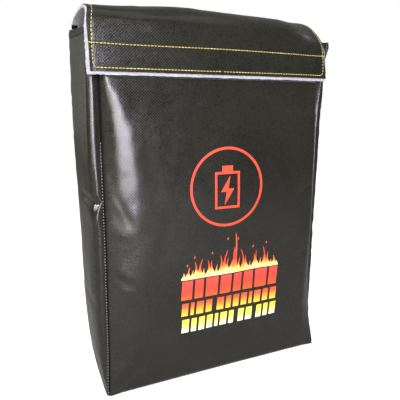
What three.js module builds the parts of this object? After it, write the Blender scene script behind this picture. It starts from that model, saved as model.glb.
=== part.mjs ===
// Fire-resistant battery bag: a flat-bottomed pouch of coated glass cloth lined with white glass felt,
// closed by a wide flap that folds over the mouth and grips the front with a hook-and-loop strip.
//
// Frame: millimetres, +Z up, front of the bag towards -Y, origin under the centre of the bag on the
// surface it stands on. Every panel is a separate layer of cloth or felt, and every sewn line is a
// separate run of thread. The flap is built closed. It hinges in two places: along the fold behind the
// mouth, and along the shoulder just above the hook strip.
import * as THREE from "three";

// ---------- driving dimensions ----------
const CLOTH = 0.9; // outer coated cloth
const FELT = 2.2; // inner felt
const GAP = 0.3; // clearance between layers that touch

const FRONT_W = 242; // front and back panel width, seam to seam
const FRONT_Y = -49.5; // outer face of the front panel, in its flat middle
const BACK_Y = 45.5; // outer face of the back panel, in its flat middle
const FRONT_H = 357; // height of the front panel's top edge
const BACK_H = 367; // height of the back panel's top edge
const BULGE = 13; // how far each side gusset stands out between its seams
const ROLL = 4; // how far the front and back panels turn in towards their side seams
const ROLL_FROM = 90; // the turn starts this far from the middle of the panel
const FOOT = 64; // the side seams square up to the bottom corners over this height

const FLAP_W = 252; // flap width, raw edge to raw edge
const FOLD_Z = 369.6; // rear fold line, where the flap turns
const SHOULDER_Z = 350; // front fold line, just above the closure strip
const FLAP_END_Z = 316.3; // lower edge of the felt layer of the flap
const FELT_LIP = 2.8; // felt shows this far beyond the cloth at the raw edges
const FOLD_GAP = 1; // half the gap left at each fold line

const TAPE = 25; // hook-and-loop tape width
const TAPE_T = 1.0;
const TAPE_Z0 = 320; // lower edge of both tapes
const THREAD_W = 1.1; // thread run width
const THREAD_T = 0.5; // how far a thread run stands up
const LOWER_ROW_Z = 321.9; // stitch rows through the flap
const UPPER_ROW_Z = 343.3;

// stack in front of the front panel, closed
const LOOP_Y = FRONT_Y - GAP; // back face of the loop tape
const HOOK_Y = LOOP_Y - TAPE_T - GAP; // back face of the hook tape
const FLAP_FELT_Y = HOOK_Y - TAPE_T - GAP; // back face of the flap felt
const FLAP_CLOTH_Y = FLAP_FELT_Y - FELT - GAP; // back face of the flap cloth
const FLAP_FACE_Y = FLAP_CLOTH_Y - CLOTH; // outer face of the flap
const STITCH_FACE_Y = FLAP_FACE_Y - GAP - THREAD_T;

// ---------- materials ----------
const M = (color, roughness, metalness = 0) =>
  new THREE.MeshStandardMaterial({ color, roughness, metalness });
const clothMat = M(0x43423d, 0.45);
const feltMat = M(0xd9d8dd, 0.95);
const hookMat = M(0x1b1b1c, 0.8);
const loopMat = M(0x202022, 0.95);
const yellowThread = M(0xd6c84a, 0.6);
const greyThread = M(0xb9b8b4, 0.7);
const redPrint = M(0xe2502f, 0.5);
const flamePrint = M(0xec6a2c, 0.5);
const orangePrint = M(0xe8862a, 0.5);
const yellowPrint = M(0xeee86a, 0.5);

// ---------- helpers ----------
const bag = new THREE.Group();
const flapCrown = new THREE.Group();
const flapFront = new THREE.Group();

function put(group, name, geometry, material) {
  const mesh = new THREE.Mesh(geometry, material);
  mesh.name = name;
  group.add(mesh);
  return mesh;
}
const X = new THREE.Vector3(1, 0, 0),
  Y = new THREE.Vector3(0, 1, 0),
  Z = new THREE.Vector3(0, 0, 1);
const shapeOf = (pts) => new THREE.Shape(pts.map(([a, b]) => new THREE.Vector2(a, b)));
function extrude(pts, depth, holes = [], steps = 1) {
  const s = shapeOf(pts);
  for (const h of holes) s.holes.push(new THREE.Path(h.map(([a, b]) => new THREE.Vector2(a, b))));
  return new THREE.ExtrudeGeometry(s, { depth, bevelEnabled: false, steps });
}
// move every point of a geometry
function warp(g, f) {
  const p = g.getAttribute("position");
  for (let i = 0; i < p.count; i++) {
    const [x, y, z] = f(p.getX(i), p.getY(i), p.getZ(i));
    p.setXYZ(i, x, y, z);
  }
  g.computeVertexNormals();
  return g;
}
// cut positions between a and b, chosen where the side roll needs them
const COLUMNS = [-118, -113, -106, -98, -ROLL_FROM, ROLL_FROM, 98, 106, 113, 118];
const between = (a, b, list) => [a, ...list.filter((v) => v > a + 1 && v < b - 1), b];
// box with cuts at the given X columns and Z rows
function slab(x0, x1, y0, y1, z0, z1, rows = []) {
  const xs = between(x0, x1, COLUMNS),
    zs = between(z0, z1, rows);
  const g = new THREE.BoxGeometry(xs.length - 1, y1 - y0, zs.length - 1, xs.length - 1, 1, zs.length - 1);
  return warp(g, (x, y, z) => [
    xs[Math.round(x + (xs.length - 1) / 2)],
    y + (y0 + y1) / 2,
    zs[Math.round(z + (zs.length - 1) / 2)],
  ]);
}
// outline in Y and Z, extruded along X from x0 to x1 with cuts at the columns
function extrudeYZ(pts, x0, x1) {
  const xs = between(x0, x1, COLUMNS);
  const g = extrude(pts, xs.length - 1, [], xs.length - 1);
  g.applyMatrix4(new THREE.Matrix4().makeBasis(Y, Z, X));
  return warp(g, (x, y, z) => [xs[Math.round(x)], y, z]);
}
// outline in X and Z, extruded towards -Y from face y0, t thick
function extrudeXZ(pts, y0, t, holes = []) {
  const g = extrude(pts, t, holes);
  g.applyMatrix4(new THREE.Matrix4().makeBasis(X, Z, Y.clone().negate()));
  g.translate(0, y0, 0);
  return g;
}
// a polyline moved sideways by d, to the left of its direction of travel for d > 0
function offset(line, d) {
  return line.map((p, i) => {
    const a = line[Math.max(0, i - 1)],
      b = line[Math.min(line.length - 1, i + 1)];
    const dx = b[0] - a[0],
      dy = b[1] - a[1],
      n = Math.hypot(dx, dy);
    return [p[0] - (dy / n) * d, p[1] + (dx / n) * d];
  });
}
// closed band between two offsets of a polyline
const band = (line, from, to) => [...offset(line, from), ...offset(line, to).reverse()];

// ---------- the shape every upright wall follows ----------
// how far a panel turns in at distance |x| from its middle
const roll = (x) => ROLL * Math.pow(Math.max(0, Math.abs(x) - ROLL_FROM) / (FRONT_W / 2 - ROLL_FROM), 2);
// 0 at the bottom seam, 1 above the foot
function footing(z) {
  const t = Math.min(1, Math.max(0, z / FOOT));
  return 1 - (1 - t) * (1 - t);
}
const rollFront = (x, y, z) => [x, y + roll(x) * footing(z), z];
const rollBack = (x, y, z) => [x, y - roll(x) * footing(z), z];
const FELT_Z0 = CLOTH + GAP + FELT + GAP; // wall felt starts above the bottom felt
const ROWS = [FELT_Z0, 9, 15, 22, 30, 40, 51, FOOT];

// ---------- front and back walls ----------
const HALF = FRONT_W / 2;
const WALL_Z0 = CLOTH + GAP; // the walls stand on the bottom panel's edges
put(bag, "front_panel_shell", warp(slab(-HALF, HALF, FRONT_Y, FRONT_Y + CLOTH, WALL_Z0, FRONT_H, ROWS), rollFront), clothMat);
put(bag, "back_panel_shell", warp(slab(-HALF, HALF, BACK_Y - CLOTH, BACK_Y, WALL_Z0, BACK_H, ROWS), rollBack), clothMat);

const FRONT_IN = FRONT_Y + CLOTH + GAP; // outer face of the front felt
const BACK_IN = BACK_Y - CLOTH - GAP;

const FELT_HALF = HALF - 5;
put(bag, "front_panel_lining", warp(slab(-FELT_HALF, FELT_HALF, FRONT_IN, FRONT_IN + FELT, FELT_Z0, FRONT_H - 2, ROWS), rollFront), feltMat);
put(bag, "back_panel_lining", warp(slab(-FELT_HALF, FELT_HALF, BACK_IN - FELT, BACK_IN, FELT_Z0, BACK_H - 0.5, ROWS), rollBack), feltMat);

// ---------- bottom ----------
put(bag, "bottom_panel_shell", slab(-HALF, HALF, FRONT_Y, BACK_Y, 0, CLOTH), clothMat);
put(bag, "bottom_panel_lining", slab(-FELT_HALF, FELT_HALF, FRONT_IN + 0.2, BACK_IN - 0.2, WALL_Z0, WALL_Z0 + FELT), feltMat);

// ---------- side gussets: walls that stand out between their seams, with a top edge that rises to the back ----------
const SEAM_IN = CLOTH + GAP;
function gusset(side, name) {
  const n = 18,
    rows = [...ROWS, 200];
  // outer line through full bulge, on a unit depth scaled to millimetres later
  const g0 = FRONT_Y + ROLL + SEAM_IN,
    g1 = BACK_Y - ROLL - SEAM_IN;
  const outer = [];
  for (let i = 0; i <= n; i++) {
    const t = i / n;
    outer.push([side * (HALF + BULGE * Math.sin(Math.PI * t)), g0 + (g1 - g0) * t]);
  }
  const layer = (from, to, z0, frontZ, backZ) => {
    const zs = between(z0, frontZ, rows);
    const g = extrude(band(outer, side * from, side * to), zs.length - 1, [], zs.length - 1);
    return warp(g, (x, y, k) => {
      const t = Math.min(1, Math.max(0, (y - g0) / (g1 - g0)));
      const last = Math.round(k) === zs.length - 1;
      const z = last ? frontZ + (backZ - frontZ) * t : zs[Math.round(k)];
      const f = footing(z);
      const yf = FRONT_Y + ROLL * f + SEAM_IN,
        yb = BACK_Y - ROLL * f - SEAM_IN;
      const u = (y - g0) / (g1 - g0);
      return [x - side * BULGE * Math.sin(Math.PI * t) * (1 - f), yf + (yb - yf) * Math.min(1, Math.max(0, u)), z];
    });
  };
  put(bag, name + "_gusset_shell", layer(0, CLOTH, WALL_Z0, FRONT_H, BACK_H), clothMat);
  put(bag, name + "_gusset_lining", layer(CLOTH + GAP, CLOTH + GAP + FELT, FELT_Z0, FRONT_H - 2, BACK_H - 2), feltMat);
}
gusset(-1, "left");
gusset(1, "right");

// ---------- seam threads: runs that lie in the corner grooves ----------
const SEAM = 0.8;
function cornerThread(name, side, front) {
  const x = side * (HALF + GAP + SEAM / 2);
  const y0 = front ? FRONT_Y + 0.1 : BACK_Y - 0.1 - SEAM;
  const g = slab(x - SEAM / 2, x + SEAM / 2, y0, y0 + SEAM, WALL_Z0 + 1, front ? FRONT_H - 1 : BACK_H - 1, ROWS);
  // the run follows the panel's edge, so both of its sides turn in alike
  put(bag, name, warp(g, (a, b, c) => [a, b + (front ? 1 : -1) * roll(HALF) * footing(c), c]), greyThread);
}
cornerThread("left_front_seam_thread", -1, true);
cornerThread("right_front_seam_thread", 1, true);
cornerThread("left_back_seam_thread", -1, false);
cornerThread("right_back_seam_thread", 1, false);
put(bag, "bottom_front_seam_thread", slab(-HALF + 4, HALF - 4, FRONT_Y - GAP - SEAM, FRONT_Y - GAP, 0.5, 1.3), greyThread);
put(bag, "bottom_back_seam_thread", slab(-HALF + 4, HALF - 4, BACK_Y + GAP, BACK_Y + GAP + SEAM, 0.5, 1.3), greyThread);
for (const side of [-1, 1]) {
  const x = side * (HALF + GAP + SEAM / 2);
  const g = slab(x - SEAM / 2, x + SEAM / 2, FRONT_Y + 4, BACK_Y - 4, 0.05, 0.85);
  put(bag, (side < 0 ? "left" : "right") + "_bottom_seam_thread", g, greyThread);
}

// ---------- loop tape on the front panel ----------
const LOOP_HALF = HALF - 8;
const HOOK_HALF = FLAP_W / 2 - FELT_LIP - 3;
const onFront = (name, x1, t, z0, z1, mat) =>
  put(bag, name, warp(slab(-x1, x1, LOOP_Y - t, LOOP_Y, z0, z1), rollFront), mat);
onFront("loop_strip", LOOP_HALF, TAPE_T, TAPE_Z0, TAPE_Z0 + TAPE, loopMat);
// stitched rows just outside the tape's pile
onFront("loop_strip_upper_stitching", LOOP_HALF, THREAD_T, TAPE_Z0 + TAPE + GAP, TAPE_Z0 + TAPE + GAP + THREAD_W, yellowThread);
onFront("loop_strip_lower_stitching", LOOP_HALF, THREAD_T, TAPE_Z0 - GAP - THREAD_W, TAPE_Z0 - GAP, yellowThread);
onFront("mouth_hem_stitching", HALF - 6, THREAD_T, FRONT_H - 5, FRONT_H - 5 + THREAD_W, yellowThread);

// ---------- printed decoration on the front panel (a plain ring, a battery symbol, flames and three bars) ----------
const PRINT_T = 0.3;
const PRINT_X = 4; // centre of the print across the front
function ring(cx, cz, r, w, n = 48) {
  const c = (rad) => Array.from({ length: n }, (_, i) => [cx + rad * Math.cos((2 * Math.PI * i) / n), cz + rad * Math.sin((2 * Math.PI * i) / n)]);
  return [c(r), c(r - w)];
}
const EMBLEM_Z = 210,
  EMBLEM_R = 41;
{
  const [o, i] = ring(PRINT_X, EMBLEM_Z, EMBLEM_R, 4.5);
  put(bag, "emblem_ring_print", extrudeXZ(o, FRONT_Y - GAP, PRINT_T, [i.reverse()]), redPrint);
  // upright battery: body with a cap and a bolt-shaped window
  const bx = 14,
    bz = 22;
  const body = [
    [PRINT_X - bx, EMBLEM_Z - bz],
    [PRINT_X + bx, EMBLEM_Z - bz],
    [PRINT_X + bx, EMBLEM_Z + bz - 6],
    [PRINT_X + 6, EMBLEM_Z + bz - 6],
    [PRINT_X + 6, EMBLEM_Z + bz],
    [PRINT_X - 6, EMBLEM_Z + bz],
    [PRINT_X - 6, EMBLEM_Z + bz - 6],
    [PRINT_X - bx, EMBLEM_Z + bz - 6],
  ];
  const bolt = [
    [3, 13],
    [-8, -4],
    [-1, -4],
    [-3, -19],
    [8, -1],
    [1, -1],
  ].map(([a, b]) => [PRINT_X + a, EMBLEM_Z - 1 + b]);
  put(bag, "emblem_battery_print", extrudeXZ(body, FRONT_Y - GAP, PRINT_T, [bolt]), redPrint);
}
const ART_X0 = -47.5,
  ART_X1 = 68.5;
const FLAME_Z = 119;
{
  // a row of plain flame tongues on a thin base line
  const tips = [
    [0.05, 9],
    [0.13, 19],
    [0.22, 13],
    [0.31, 24],
    [0.4, 19],
    [0.5, 44],
    [0.6, 22],
    [0.68, 15],
    [0.77, 25],
    [0.86, 19],
    [0.94, 10],
  ];
  const pts = [[ART_X0, FLAME_Z - 1.5]];
  const at = (t) => ART_X0 + (ART_X1 - ART_X0) * t;
  pts.push([ART_X1, FLAME_Z - 1.5], [ART_X1, FLAME_Z]);
  for (let i = tips.length - 1; i >= 0; i--) {
    const [t, h] = tips[i];
    const dip = i > 0 ? 3 + 0.18 * Math.min(h, tips[i - 1][1]) : 0.6;
    pts.push([at(t) + 3.4, FLAME_Z + h * 0.35], [at(t) + 2.2, FLAME_Z + h * 0.62], [at(t) + 1.2, FLAME_Z + h]);
    pts.push([at(t) - 1.6, FLAME_Z + h * 0.66], [at(t) - 3.0, FLAME_Z + h * 0.36]);
    if (i > 0) pts.push([(at(t) + at(tips[i - 1][0])) / 2, FLAME_Z + dip]);
  }
  pts.push([ART_X0, FLAME_Z]);
  put(bag, "flame_print", extrudeXZ(pts, FRONT_Y - GAP, PRINT_T), flamePrint);
}
const bar = (name, z0, z1, mat) =>
  put(bag, name, slab(ART_X0, ART_X1, FRONT_Y - GAP - PRINT_T, FRONT_Y - GAP, z0, z1), mat);
bar("upper_bar_print", 94.5, 115.5, redPrint);
bar("middle_bar_print", 76.5, 90.5, orangePrint);
bar("lower_bar_print", 57.5, 72.5, yellowPrint);

// ---------- flap crown: from the rear fold over the mouth to the shoulder ----------
// outer face, from the shoulder at the front to the rear fold (travel towards +Y, so inside is at -d)
const CROWN = [
  [FLAP_FACE_Y, SHOULDER_Z + FOLD_GAP],
  [FLAP_FACE_Y, 358],
  [FLAP_FACE_Y + 0.7, 362.4],
  [FLAP_FACE_Y + 2.6, 366.6],
  [FLAP_FACE_Y + 6, 370.4],
  [-44, 373.8],
  [-36, 376.8],
  [-26, 379.4],
  [-14, 381.5],
  [-1, 382.8],
  [12, 382.9],
  [23, 381.6],
  [32.5, 379.2],
  [40, 375.9],
  [44.6, 373.2],
  [BACK_Y + 1, FOLD_Z + FOLD_GAP],
];
// the crown turns in at its sides like the front wall, and less towards the rear fold
const rollCrown = (x, y, z) => [x, y + roll(x) * Math.min(1, Math.max(0, (20 - y) / 66)), z];
const FW = FLAP_W / 2;
put(flapCrown, "flap_crown_shell", warp(extrudeYZ(band(CROWN, 0, -CLOTH).reverse(), -FW + FELT_LIP, FW - FELT_LIP), rollCrown), clothMat);
put(flapCrown, "flap_crown_lining", warp(extrudeYZ(band(CROWN, -(CLOTH + GAP), -(CLOTH + GAP + FELT)).reverse(), -FW, FW), rollCrown), feltMat);
const EDGE_X = FW - FELT_LIP - 3.2; // edge stitching line
for (const side of [-1, 1]) {
  const x = side * EDGE_X;
  put(
    flapCrown,
    (side < 0 ? "left" : "right") + "_crown_edge_stitching",
    warp(extrudeYZ(band(CROWN, GAP + THREAD_T, GAP).reverse(), x - THREAD_W / 2, x + THREAD_W / 2), rollCrown),
    yellowThread,
  );
}
// the row that closes the lap where the flap is sewn to the back wall
put(
  flapCrown,
  "flap_lap_seam_stitching",
  slab(-EDGE_X + THREAD_W, EDGE_X - THREAD_W, BACK_Y + 1 + GAP, BACK_Y + 1 + GAP + THREAD_T, FOLD_Z + 1.3, FOLD_Z + 2.4),
  yellowThread,
);

// ---------- flap front: the part that hangs over the front panel ----------
const CLOTH_END_Z = FLAP_END_Z + FELT_LIP;
const FRONT_TOP = SHOULDER_Z - FOLD_GAP;
const onFlap = (name, x0, x1, y0, y1, z0, z1, mat) =>
  put(flapFront, name, warp(slab(x0, x1, y0, y1, z0, z1), (x, y, z) => [x, y + roll(x), z]), mat);
onFlap("flap_front_shell", -FW + FELT_LIP, FW - FELT_LIP, FLAP_FACE_Y, FLAP_CLOTH_Y, CLOTH_END_Z, FRONT_TOP, clothMat);
onFlap("flap_front_lining", -FW, FW, FLAP_CLOTH_Y + GAP, FLAP_CLOTH_Y + GAP + FELT, FLAP_END_Z, FRONT_TOP, feltMat);
onFlap("hook_strip", -HOOK_HALF, HOOK_HALF, HOOK_Y - TAPE_T, HOOK_Y, TAPE_Z0, TAPE_Z0 + TAPE, hookMat);
{
  const w = THREAD_W / 2,
    x = EDGE_X;
  const y0 = STITCH_FACE_Y,
    y1 = FLAP_FACE_Y - GAP;
  onFlap("left_flap_edge_stitching", -x - w, -x + w, y0, y1, LOWER_ROW_Z - w, FRONT_TOP, yellowThread);
  onFlap("right_flap_edge_stitching", x - w, x + w, y0, y1, LOWER_ROW_Z - w, FRONT_TOP, yellowThread);
  onFlap("flap_lower_row_stitching", -x + w + GAP, x - w - GAP, y0, y1, LOWER_ROW_Z - w, LOWER_ROW_Z + w, yellowThread);
  onFlap("flap_upper_row_stitching", -x + w + GAP, x - w - GAP, y0, y1, UPPER_ROW_Z - w, UPPER_ROW_Z + w, yellowThread);
}

// ---------- assembly: centre the whole bag over its origin ----------
const whole = new THREE.Group();
whole.add(bag, flapCrown, flapFront);
const yMin = STITCH_FACE_Y,
  yMax = BACK_Y + 1 + GAP + THREAD_T;
whole.position.y = -(yMin + yMax) / 2;

export default whole;
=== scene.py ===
"""Dark coated-cloth battery bag with a fold-over flap: the looks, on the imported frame."""
import bpy
import math
import numpy as np
from mathutils import Matrix, Vector, geometry


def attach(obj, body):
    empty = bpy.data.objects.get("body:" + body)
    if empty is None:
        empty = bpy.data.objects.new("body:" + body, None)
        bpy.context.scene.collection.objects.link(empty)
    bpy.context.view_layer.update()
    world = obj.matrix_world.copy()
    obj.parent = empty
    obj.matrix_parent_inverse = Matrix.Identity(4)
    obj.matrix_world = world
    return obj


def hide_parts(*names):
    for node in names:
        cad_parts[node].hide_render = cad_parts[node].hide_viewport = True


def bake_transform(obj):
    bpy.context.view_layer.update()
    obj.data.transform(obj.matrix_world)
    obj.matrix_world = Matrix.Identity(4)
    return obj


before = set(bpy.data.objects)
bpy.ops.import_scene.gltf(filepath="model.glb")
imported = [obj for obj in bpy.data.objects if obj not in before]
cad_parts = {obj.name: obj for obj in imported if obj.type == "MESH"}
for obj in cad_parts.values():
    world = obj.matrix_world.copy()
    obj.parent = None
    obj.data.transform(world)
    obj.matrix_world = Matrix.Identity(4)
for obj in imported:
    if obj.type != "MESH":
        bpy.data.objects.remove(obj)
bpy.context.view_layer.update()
MM = 0.001


# ------------------------------------------------------------------ numbers
def hash2(i, j, seed):
    n = (i * 374761393 + j * 668265263 + seed * 69069) & 0xFFFFFFFF
    n = ((n ^ (n >> 13)) * 1274126177) & 0xFFFFFFFF
    return ((n ^ (n >> 16)) & 0xFFFF) / 65535.0 * 2.0 - 1.0


def noise2(x, y, seed=0):
    x, y = np.broadcast_arrays(np.asarray(x, float), np.asarray(y, float))
    xi, yi = np.floor(x).astype(np.int64), np.floor(y).astype(np.int64)
    fx, fy = x - xi, y - yi
    fx, fy = fx * fx * fx * (fx * (fx * 6 - 15) + 10), fy * fy * fy * (fy * (fy * 6 - 15) + 10)
    a, b = hash2(xi, yi, seed), hash2(xi + 1, yi, seed)
    c, d = hash2(xi, yi + 1, seed), hash2(xi + 1, yi + 1, seed)
    return (a * (1 - fx) + b * fx) * (1 - fy) + (c * (1 - fx) + d * fx) * fy


def fbm(x, y, seed=0, octaves=3):
    out, amp = 0.0, 1.0
    for k in range(octaves):
        out = out + amp * noise2(np.asarray(x) * 2 ** k + 17.3 * k, np.asarray(y) * 2 ** k - 9.1 * k, seed + k)
        amp *= 0.5
    return out


def sstep(x, a, b):
    t = np.clip((np.asarray(x, float) - a) / (b - a), 0, 1)
    return t * t * (3 - 2 * t)


class Table:
    """A smooth curve through points, read at any place."""

    def __init__(self, pts, soft=6.0):
        xs = np.array([p[0] for p in pts], float)
        vs = np.array([p[1] for p in pts], float)
        g = np.arange(xs[0] - 4 * soft, xs[-1] + 4 * soft, 0.5)
        # straight run-out at both ends keeps the end values
        v = np.interp(g, xs, vs)
        lo, hi = g < xs[0], g > xs[-1]
        v[lo] = vs[0] + (g[lo] - xs[0]) * (vs[1] - vs[0]) / (xs[1] - xs[0])
        v[hi] = vs[-1] + (g[hi] - xs[-1]) * (vs[-1] - vs[-2]) / (xs[-1] - xs[-2])
        k = np.arange(-3 * soft, 3 * soft + 0.1, 0.5)
        w = np.exp(-0.5 * (k / soft) ** 2)
        w /= w.sum()
        pad = len(k) // 2
        vp = np.concatenate([np.full(pad, v[0]), v, np.full(pad, v[-1])])
        self.g, self.v = g, np.convolve(vp, w, "valid")[: len(g)]

    def __call__(self, x):
        return np.interp(x, self.g, self.v)


def spread(a, b, n, fine_a=0.0, fine_b=0.0):
    """n places from a to b, closer together at an end where fine is above 0."""
    t = np.linspace(0, 1, n)
    dens = 1 + fine_a * np.exp(-((t / 0.06) ** 2)) + fine_b * np.exp(-(((1 - t) / 0.06) ** 2))
    c = np.concatenate([[0], np.cumsum((dens[1:] + dens[:-1]) / 2)])
    u = np.interp(np.linspace(0, c[-1], n), c, t)
    return a + (b - a) * u


# ------------------------------------------------------------------ mesh making
def normals(P):
    du = np.gradient(P, axis=0)
    dv = np.gradient(P, axis=1)
    n = np.cross(du, dv)
    return n / np.maximum(np.linalg.norm(n, axis=-1, keepdims=True), 1e-9)


def make_object(name, verts, faces, uvs, mat, sharp=42):
    """verts in mm, faces a list of index tuples, uvs per vertex in mm or None."""
    me = bpy.data.meshes.new(name)
    me.from_pydata([tuple(v) for v in (np.asarray(verts) * MM)], [], [tuple(int(i) for i in f) for f in faces])
    me.validate()
    if uvs is not None:
        layer = me.uv_layers.new(name="UVMap")
        idx = np.zeros(len(me.loops), np.int64)
        me.loops.foreach_get("vertex_index", idx)
        layer.data.foreach_set("uv", (np.asarray(uvs)[idx] * MM).astype(np.float32).ravel())
    me.polygons.foreach_set("use_smooth", [True] * len(me.polygons))
    me.update()
    if sharp:
        me.set_sharp_from_angle(angle=math.radians(sharp))
    o = bpy.data.objects.new(name, me)
    bpy.context.scene.collection.objects.link(o)
    if mat is not None:
        me.materials.append(mat)
    return o


def grid_faces(nu, nv, base=0, flip=False):
    i, j = np.meshgrid(np.arange(nu - 1), np.arange(nv - 1), indexing="ij")
    a = base + i * nv + j
    q = np.stack([a, a + nv, a + nv + 1, a + 1], -1).reshape(-1, 4)
    return q[:, ::-1] if flip else q


def rim_loop(nu, nv):
    a = [i * nv for i in range(nu)]
    b = [(nu - 1) * nv + j for j in range(1, nv)]
    c = [i * nv + nv - 1 for i in range(nu - 2, -1, -1)]
    d = [j for j in range(nv - 2, 0, -1)]
    return a + b + c + d


def layer(name, P, N, t, uv, mat, sharp=42, rough_edge=0.0, seed=1):
    """A sheet of thickness t: P is its outer face (nu, nv, 3), N points outwards."""
    nu, nv = P.shape[:2]
    inner = P - N * (t if np.ndim(t) == 0 else np.asarray(t)[..., None])
    if rough_edge:
        # a raw edge wanders a little
        k = np.zeros((nu, nv))
        k[0], k[-1], k[:, 0], k[:, -1] = 1, 1, 1, 1
        du, dv = np.gradient(P, axis=0), np.gradient(P, axis=1)
        du /= np.maximum(np.linalg.norm(du, axis=-1, keepdims=True), 1e-9)
        dv /= np.maximum(np.linalg.norm(dv, axis=-1, keepdims=True), 1e-9)
        w = rough_edge * noise2(np.arange(nu)[:, None] * 0.9, np.arange(nv)[None, :] * 0.9, seed)
        w2 = rough_edge * noise2(np.arange(nu)[:, None] * 0.9, np.arange(nv)[None, :] * 0.9, seed + 5)
        P, inner = P.copy(), inner.copy()
        for A in (P, inner):
            A[0] += du[0] * w[0][:, None]
            A[-1] += du[-1] * w[-1][:, None]
            A[:, 0] += dv[:, 0] * w2[:, 0][:, None]
            A[:, -1] += dv[:, -1] * w2[:, -1][:, None]
    d = np.cross(P[1, 0] - P[0, 0], P[0, 1] - P[0, 0])
    flip = np.dot(d, N[0, 0]) < 0
    m = nu * nv
    faces = [grid_faces(nu, nv, 0, flip), grid_faces(nu, nv, m, not flip)]
    loop = np.array(rim_loop(nu, nv))
    nxt = np.roll(loop, -1)
    rim = np.stack([loop, loop + m, nxt + m, nxt], -1)
    faces.append(rim[:, ::-1] if flip else rim)
    verts = np.concatenate([P.reshape(-1, 3), inner.reshape(-1, 3)])
    uvs = np.concatenate([uv.reshape(-1, 2), uv.reshape(-1, 2)])
    return make_object(name, verts, np.concatenate(faces), uvs, mat, sharp)


def tube_rows(paths, radius, sides=6):
    """Capsule-ended tubes along short paths: each path is (k, 3) in mm."""
    V, F = [], []
    base = 0
    for p in paths:
        p = np.asarray(p, float)
        k = len(p)
        d = np.gradient(p, axis=0)
        d /= np.maximum(np.linalg.norm(d, axis=1, keepdims=True), 1e-9)
        up = np.array([0.0, 0.0, 1.0])
        if abs(d[k // 2] @ up) > 0.9:
            up = np.array([1.0, 0.0, 0.0])
        a = np.cross(d, up)
        a /= np.linalg.norm(a, axis=1, keepdims=True)
        b = np.cross(d, a)
        prof = np.ones(k)
        prof[0] = prof[-1] = 0.45
        ang = np.arange(sides) * 2 * math.pi / sides
        ring = (a[:, None] * np.cos(ang)[None, :, None] + b[:, None] * np.sin(ang)[None, :, None]) * (radius * prof)[:, None, None] + p[:, None]
        V.append(ring.reshape(-1, 3))
        for i in range(k - 1):
            for s in range(sides):
                t = (s + 1) % sides
                F.append((base + i * sides + s, base + i * sides + t, base + (i + 1) * sides + t, base + (i + 1) * sides + s))
        F.append(tuple(base + s for s in reversed(range(sides))))
        F.append(tuple(base + (k - 1) * sides + s for s in range(sides)))
        base += k * sides
    return np.concatenate(V), F


def stitches(name, lines, mat, pitch=3.2, length=2.8, radius=0.38, sink=0.3, proud=0.22, jitter=0.0, seed=3):
    """Rows of single stitches. lines is a list of (points, normals), each (n, 3) in mm."""
    paths, uv_ids = [], []
    for li, (pts, nor) in enumerate(lines):
        pts, nor = np.asarray(pts, float), np.asarray(nor, float)
        seg = np.linalg.norm(np.diff(pts, axis=0), axis=1)
        s = np.concatenate([[0], np.cumsum(seg)])
        count = int((s[-1]) // pitch)
        if count < 1:
            continue
        off = (s[-1] - count * pitch) / 2
        for c in range(count):
            s0 = off + c * pitch + (pitch - length) / 2
            q = np.linspace(s0, s0 + length, 6)
            P = np.stack([np.interp(q, s, pts[:, k]) for k in range(3)], -1)
            N = np.stack([np.interp(q, s, nor[:, k]) for k in range(3)], -1)
            N /= np.maximum(np.linalg.norm(N, axis=1, keepdims=True), 1e-9)
            h = np.array([-sink, proud * 0.55, proud, proud, proud * 0.55, -sink])
            side = np.cross(N, np.gradient(P, axis=0))
            side /= np.maximum(np.linalg.norm(side, axis=1, keepdims=True), 1e-9)
            j = jitter * hash2(np.int64(c), np.int64(li), seed)
            tilt = jitter * 0.7 * hash2(np.int64(c), np.int64(li + 31), seed) * np.linspace(-1, 1, 6)
            paths.append(P + N * h[:, None] + side * (j + tilt)[:, None])
    V, F = tube_rows(paths, radius)
    return make_object(name, V, F, None, mat, sharp=0)


# ------------------------------------------------------------------ materials
def new_mat(name):
    m = bpy.data.materials.new(name)
    m.use_nodes = True
    nt = m.node_tree
    b = nt.nodes["Principled BSDF"]
    return m, nt, b


def node(nt, kind, **kw):
    n = nt.nodes.new(kind)
    for k, v in kw.items():
        if k.startswith("in_"):
            n.inputs[int(k[3:])].default_value = v
        else:
            setattr(n, k, v)
    return n


def math_node(nt, op, a, b=None, c=None, clamp=False):
    n = nt.nodes.new("ShaderNodeMath")
    n.operation = op
    n.use_clamp = clamp
    for i, v in enumerate((a, b, c)):
        if v is None:
            continue
        if isinstance(v, (int, float)):
            n.inputs[i].default_value = v
        else:
            nt.links.new(v, n.inputs[i])
    return n.outputs[0]


def ramp(nt, fac, stops):
    n = nt.nodes.new("ShaderNodeValToRGB")
    while len(n.color_ramp.elements) < len(stops):
        n.color_ramp.elements.new(0.5)
    for e, (p, c) in zip(n.color_ramp.elements, stops):
        e.position = p
        e.color = (*c, 1) if len(c) == 3 else c
    nt.links.new(fac, n.inputs[0])
    return n.outputs[0]


def mix_col(nt, fac, a, b, mode="MIX"):
    n = nt.nodes.new("ShaderNodeMix")
    n.data_type = "RGBA"
    n.blend_type = mode
    for sock, v in ((n.inputs[0], fac), (n.inputs[6], a), (n.inputs[7], b)):
        if isinstance(v, (int, float)):
            sock.default_value = v
        elif isinstance(v, tuple):
            sock.default_value = (*v, 1) if len(v) == 3 else v
        else:
            nt.links.new(v, sock)
    return n.outputs[2]


def noise(nt, vec, scale, detail=3.0, rough=0.55):
    n = nt.nodes.new("ShaderNodeTexNoise")
    n.inputs["Scale"].default_value = scale
    n.inputs["Detail"].default_value = detail
    n.inputs["Roughness"].default_value = rough
    nt.links.new(vec, n.inputs["Vector"])
    return n.outputs["Fac"]


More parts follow.
